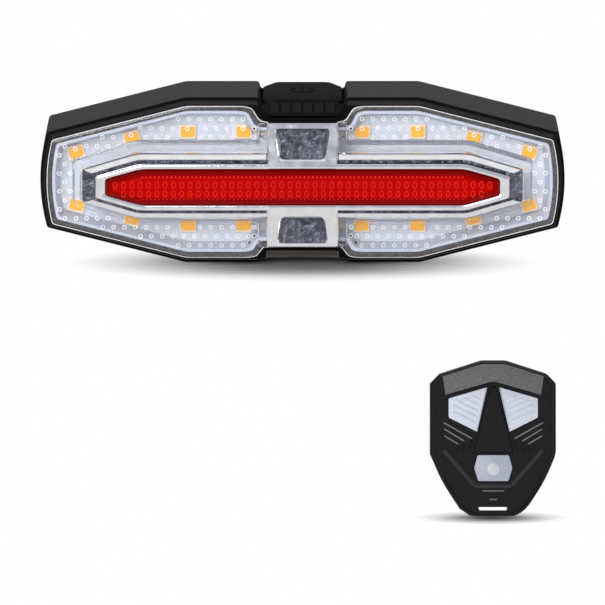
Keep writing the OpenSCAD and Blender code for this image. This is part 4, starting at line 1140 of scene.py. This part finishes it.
CAD_FINISH = {
    "led_board": "mask", "red_leds": "red_led", "board_screws": "steel",
    "main_board": "green", "battery": "foil", "battery_pad": "foam", "power_switch": "switch",
    "power_plunger": "switch", "usb_port": "steel", "mount_bracket": "switch", "mount_pad": "rubber",
    "bracket_screws": "steel", "remote_back_shell": "remote", "remote_gasket": "rubber",
    "left_plunger": "switch", "right_plunger": "switch", "mode_plunger": "switch",
    "remote_switches": "switch", "remote_board": "green", "cell_contacts": "brass", "coin_cell": "steel",
    "battery_door": "remote", "remote_screws": "steel",
}
SIDES = ((-1, "left"), (1, "right"))
RING_THICK = 0.09


class SIGNAL_OT_finishes(Operator):
    """Makes the finishes and puts them on the pieces that are shown as they are in the part"""

    bl_idname = "signal.finishes"
    bl_label = "Finishes and inner pieces"

    def execute(self, context):
        FINISH.update(build_finishes())
        for node, finish_name in CAD_FINISH.items():
            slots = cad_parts[node].data.materials
            slots.clear()
            slots.append(FINISH[finish_name])
        return {"FINISHED"}


class SIGNAL_OT_casing(Operator):
    """Builds the rear housing, the front bezel and the gasket between them"""

    bl_idname = "signal.casing"
    bl_label = "Casing"

    def execute(self, context):
        make("housing_shell", rear_housing(), "casing", "light", ["rear_housing"])
        make("bezel_frame", front_bezel(), "bezel", "light", ["front_bezel"])
        make("gasket_ring", gasket_ring(), "rubber", "light", ["lens_gasket"])
        return {"FINISHED"}


class SIGNAL_OT_clear_lens(Operator):
    """Builds the clear lens, its dots and the reflector behind it"""

    bl_idname = "signal.clear_lens"
    bl_label = "Clear lens"

    def execute(self, context):
        size = sizes()
        radius = 0.5 * size.prism_d / MM - RING_THICK
        stakes = pair([(10.1, 11.35), (10.1, -11.35)])
        spots = np.vstack([lens_dots(size), stakes])
        dots = copies(oval(radius, radius, RING_THICK), spots, LENS_FRONT)
        pins = copies(dot(0.26, 0.1), stakes, LENS_FRONT)
        make("lens_cover", clear_lens(), "clear", "light", ["clear_lens"])
        # The dots and the edge bead are painted highlights: white, with a painted glow
        make("lens_prisms", dots, "prism", "light", [])
        make("lens_edge", lens_edge(), "prism", "light", [])
        make("lens_stakes", pins, "switch", "light", [])
        make("reflector", reflector(), "liner", "light", [])
        make("reflector_edge", reflector_edge(), "satin", "light", [])
        return {"FINISHED"}


class SIGNAL_OT_chrome_trim(Operator):
    """Builds the plated frame round the red bar and its two boxes"""

    bl_idname = "signal.chrome_trim"
    bl_label = "Chrome trim"

    def execute(self, context):
        upper, upper_floor = chrome_box(*UPPER_BOX)
        lower, lower_floor = chrome_box(*LOWER_BOX)
        plated = merge([chrome_frame(), upper, lower])
        floors = merge([upper_floor, lower_floor, groove_floor()])
        make("trim_frame", plated, "chrome", "light", ["chrome_trim"], angle=25)
        make("trim_floors", floors, "stipple", "light", [])
        return {"FINISHED"}


class SIGNAL_OT_red_bar(Operator):
    """Builds the red bar and its prism ovals"""

    bl_idname = "signal.red_bar"
    bl_label = "Red bar"

    def execute(self, context):
        make("red_bar", red_bar(), "red", "light", ["red_lens"], angle=25)
        # The ovals carry a painted highlight: a paler red than the bar
        make("red_prisms", red_ovals(sizes()), "red_prism", "light", [])
        return {"FINISHED"}


class SIGNAL_OT_leds(Operator):
    """Builds the amber LEDs of both sides"""

    bl_idname = "signal.leds"
    bl_label = "Amber LEDs"

    def execute(self, context):
        for side, name in SIDES:
            spots = led_spots(side)
            make(f"led_packages_{name}", led_packages(spots), "package", "light", [f"amber_leds_{name}"])
            make(f"led_windows_{name}", led_windows(spots), "amber", "light", [])
        return {"FINISHED"}


class SIGNAL_OT_power_button(Operator):
    """Builds the rubber button in the top edge"""

    bl_idname = "signal.power_button"
    bl_label = "Power button"

    def execute(self, context):
        make("button_cap", power_button(), "rubber", "power_button", ["power_button"],
             angle=40)
        # The bars carry a painted highlight: paler than the button's rubber
        make("button_ribs", button_ribs(), "bar", "power_button", [])
        return {"FINISHED"}


class SIGNAL_OT_usb_cover(Operator):
    """Builds the rubber cover in the lower edge"""

    bl_idname = "signal.usb_cover"
    bl_label = "Port cover"

    def execute(self, context):
        make("port_cover", usb_cover(), "cover", "usb_cover", ["usb_cover"], angle=40)
        return {"FINISHED"}


class SIGNAL_OT_remote_shell(Operator):
    """Builds the remote's front shell, its facet, ribs and lines"""

    bl_idname = "signal.remote_shell"
    bl_label = "Remote shell"

    def execute(self, context):
        shell = merge([remote_shell(), remote_ribs()])
        ridges = merge([remote_v(), remote_edge()])
        make("remote_shell", at_remote(shell), "remote", "remote", ["remote_front_shell"])
        # The V ridge and the edge ridges carry a painted highlight: paler than the shell
        make("remote_v", at_remote(ridges), "rib", "remote", [])
        # The raised lines carry a painted highlight: grey on the black shell
        make("remote_lines", at_remote(remote_lines()), "line", "remote", [])
        # The facet's grey is partly painted light
        make("remote_facet", at_remote(remote_facet()), "facet", "remote", [])
        return {"FINISHED"}


class SIGNAL_OT_remote_buttons(Operator):
    """Builds the remote's three buttons"""

    bl_idname = "signal.remote_buttons"
    bl_label = "Remote buttons"

    def execute(self, context):
        for side, name in SIDES:
            button = f"{name}_button"
            make(f"{name}_tap", at_remote(turn_button(side)), "silicone", button, [button])
        # The mode button's finish is painted shade: a greyer copy of the turn buttons' silicone
        make("mode_tap", at_remote(mode_button()), "mode", "mode_button", ["mode_button"])
        make("mode_pad", at_remote(mode_pad()), "pad", "mode_button", [])
        return {"FINISHED"}


class SIGNAL_OT_stage(Operator):
    """Builds the two white floors, the lamps, the surroundings and the camera"""

    bl_idname = "signal.stage"
    bl_label = "Stage"

    def execute(self, context):
        stage_floors()
        stage_lamps()
        stage_surroundings()
        stage_camera()
        context.scene.view_settings.view_transform = "Standard"
        return {"FINISHED"}


STEPS = (
    SIGNAL_OT_finishes, SIGNAL_OT_casing, SIGNAL_OT_clear_lens, SIGNAL_OT_chrome_trim, SIGNAL_OT_red_bar,
    SIGNAL_OT_leds, SIGNAL_OT_power_button, SIGNAL_OT_usb_cover, SIGNAL_OT_remote_shell,
    SIGNAL_OT_remote_buttons, SIGNAL_OT_stage,
)


class SIGNAL_PT_panel(Panel):
    """Lists the steps that build the light, in order"""

    bl_label = "Turn signal light"
    bl_idname = "SIGNAL_PT_panel"
    bl_space_type = "VIEW_3D"
    bl_region_type = "UI"
    bl_category = "Turn signal"

    def draw(self, context):
        for group in (context.scene.signal_colours, context.scene.signal_sizes):
            for name in group.__annotations__:
                self.layout.prop(group, name)
        for step in STEPS:
            self.layout.operator(step.bl_idname)


CLASSES = (SignalColours, SignalSizes) + STEPS + (SIGNAL_PT_panel,)


def register():
    """Makes the classes and the scene's own values known."""
    for made in CLASSES:
        bpy.utils.register_class(made)
    bpy.types.Scene.signal_colours = PointerProperty(type=SignalColours)
    bpy.types.Scene.signal_sizes = PointerProperty(type=SignalSizes)


def unregister():
    """Takes back what register made known."""
    del bpy.types.Scene.signal_sizes
    del bpy.types.Scene.signal_colours
    for made in reversed(CLASSES):
        bpy.utils.unregister_class(made)


def main():
    """Registers the add-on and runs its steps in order."""
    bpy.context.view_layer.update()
    register()
    bpy.ops.signal.finishes()
    bpy.ops.signal.casing()
    bpy.ops.signal.clear_lens()
    bpy.ops.signal.chrome_trim()
    bpy.ops.signal.red_bar()
    bpy.ops.signal.leds()
    bpy.ops.signal.power_button()
    bpy.ops.signal.usb_cover()
    bpy.ops.signal.remote_shell()
    bpy.ops.signal.remote_buttons()
    bpy.ops.signal.stage()


if __name__ == "__main__":
    main()
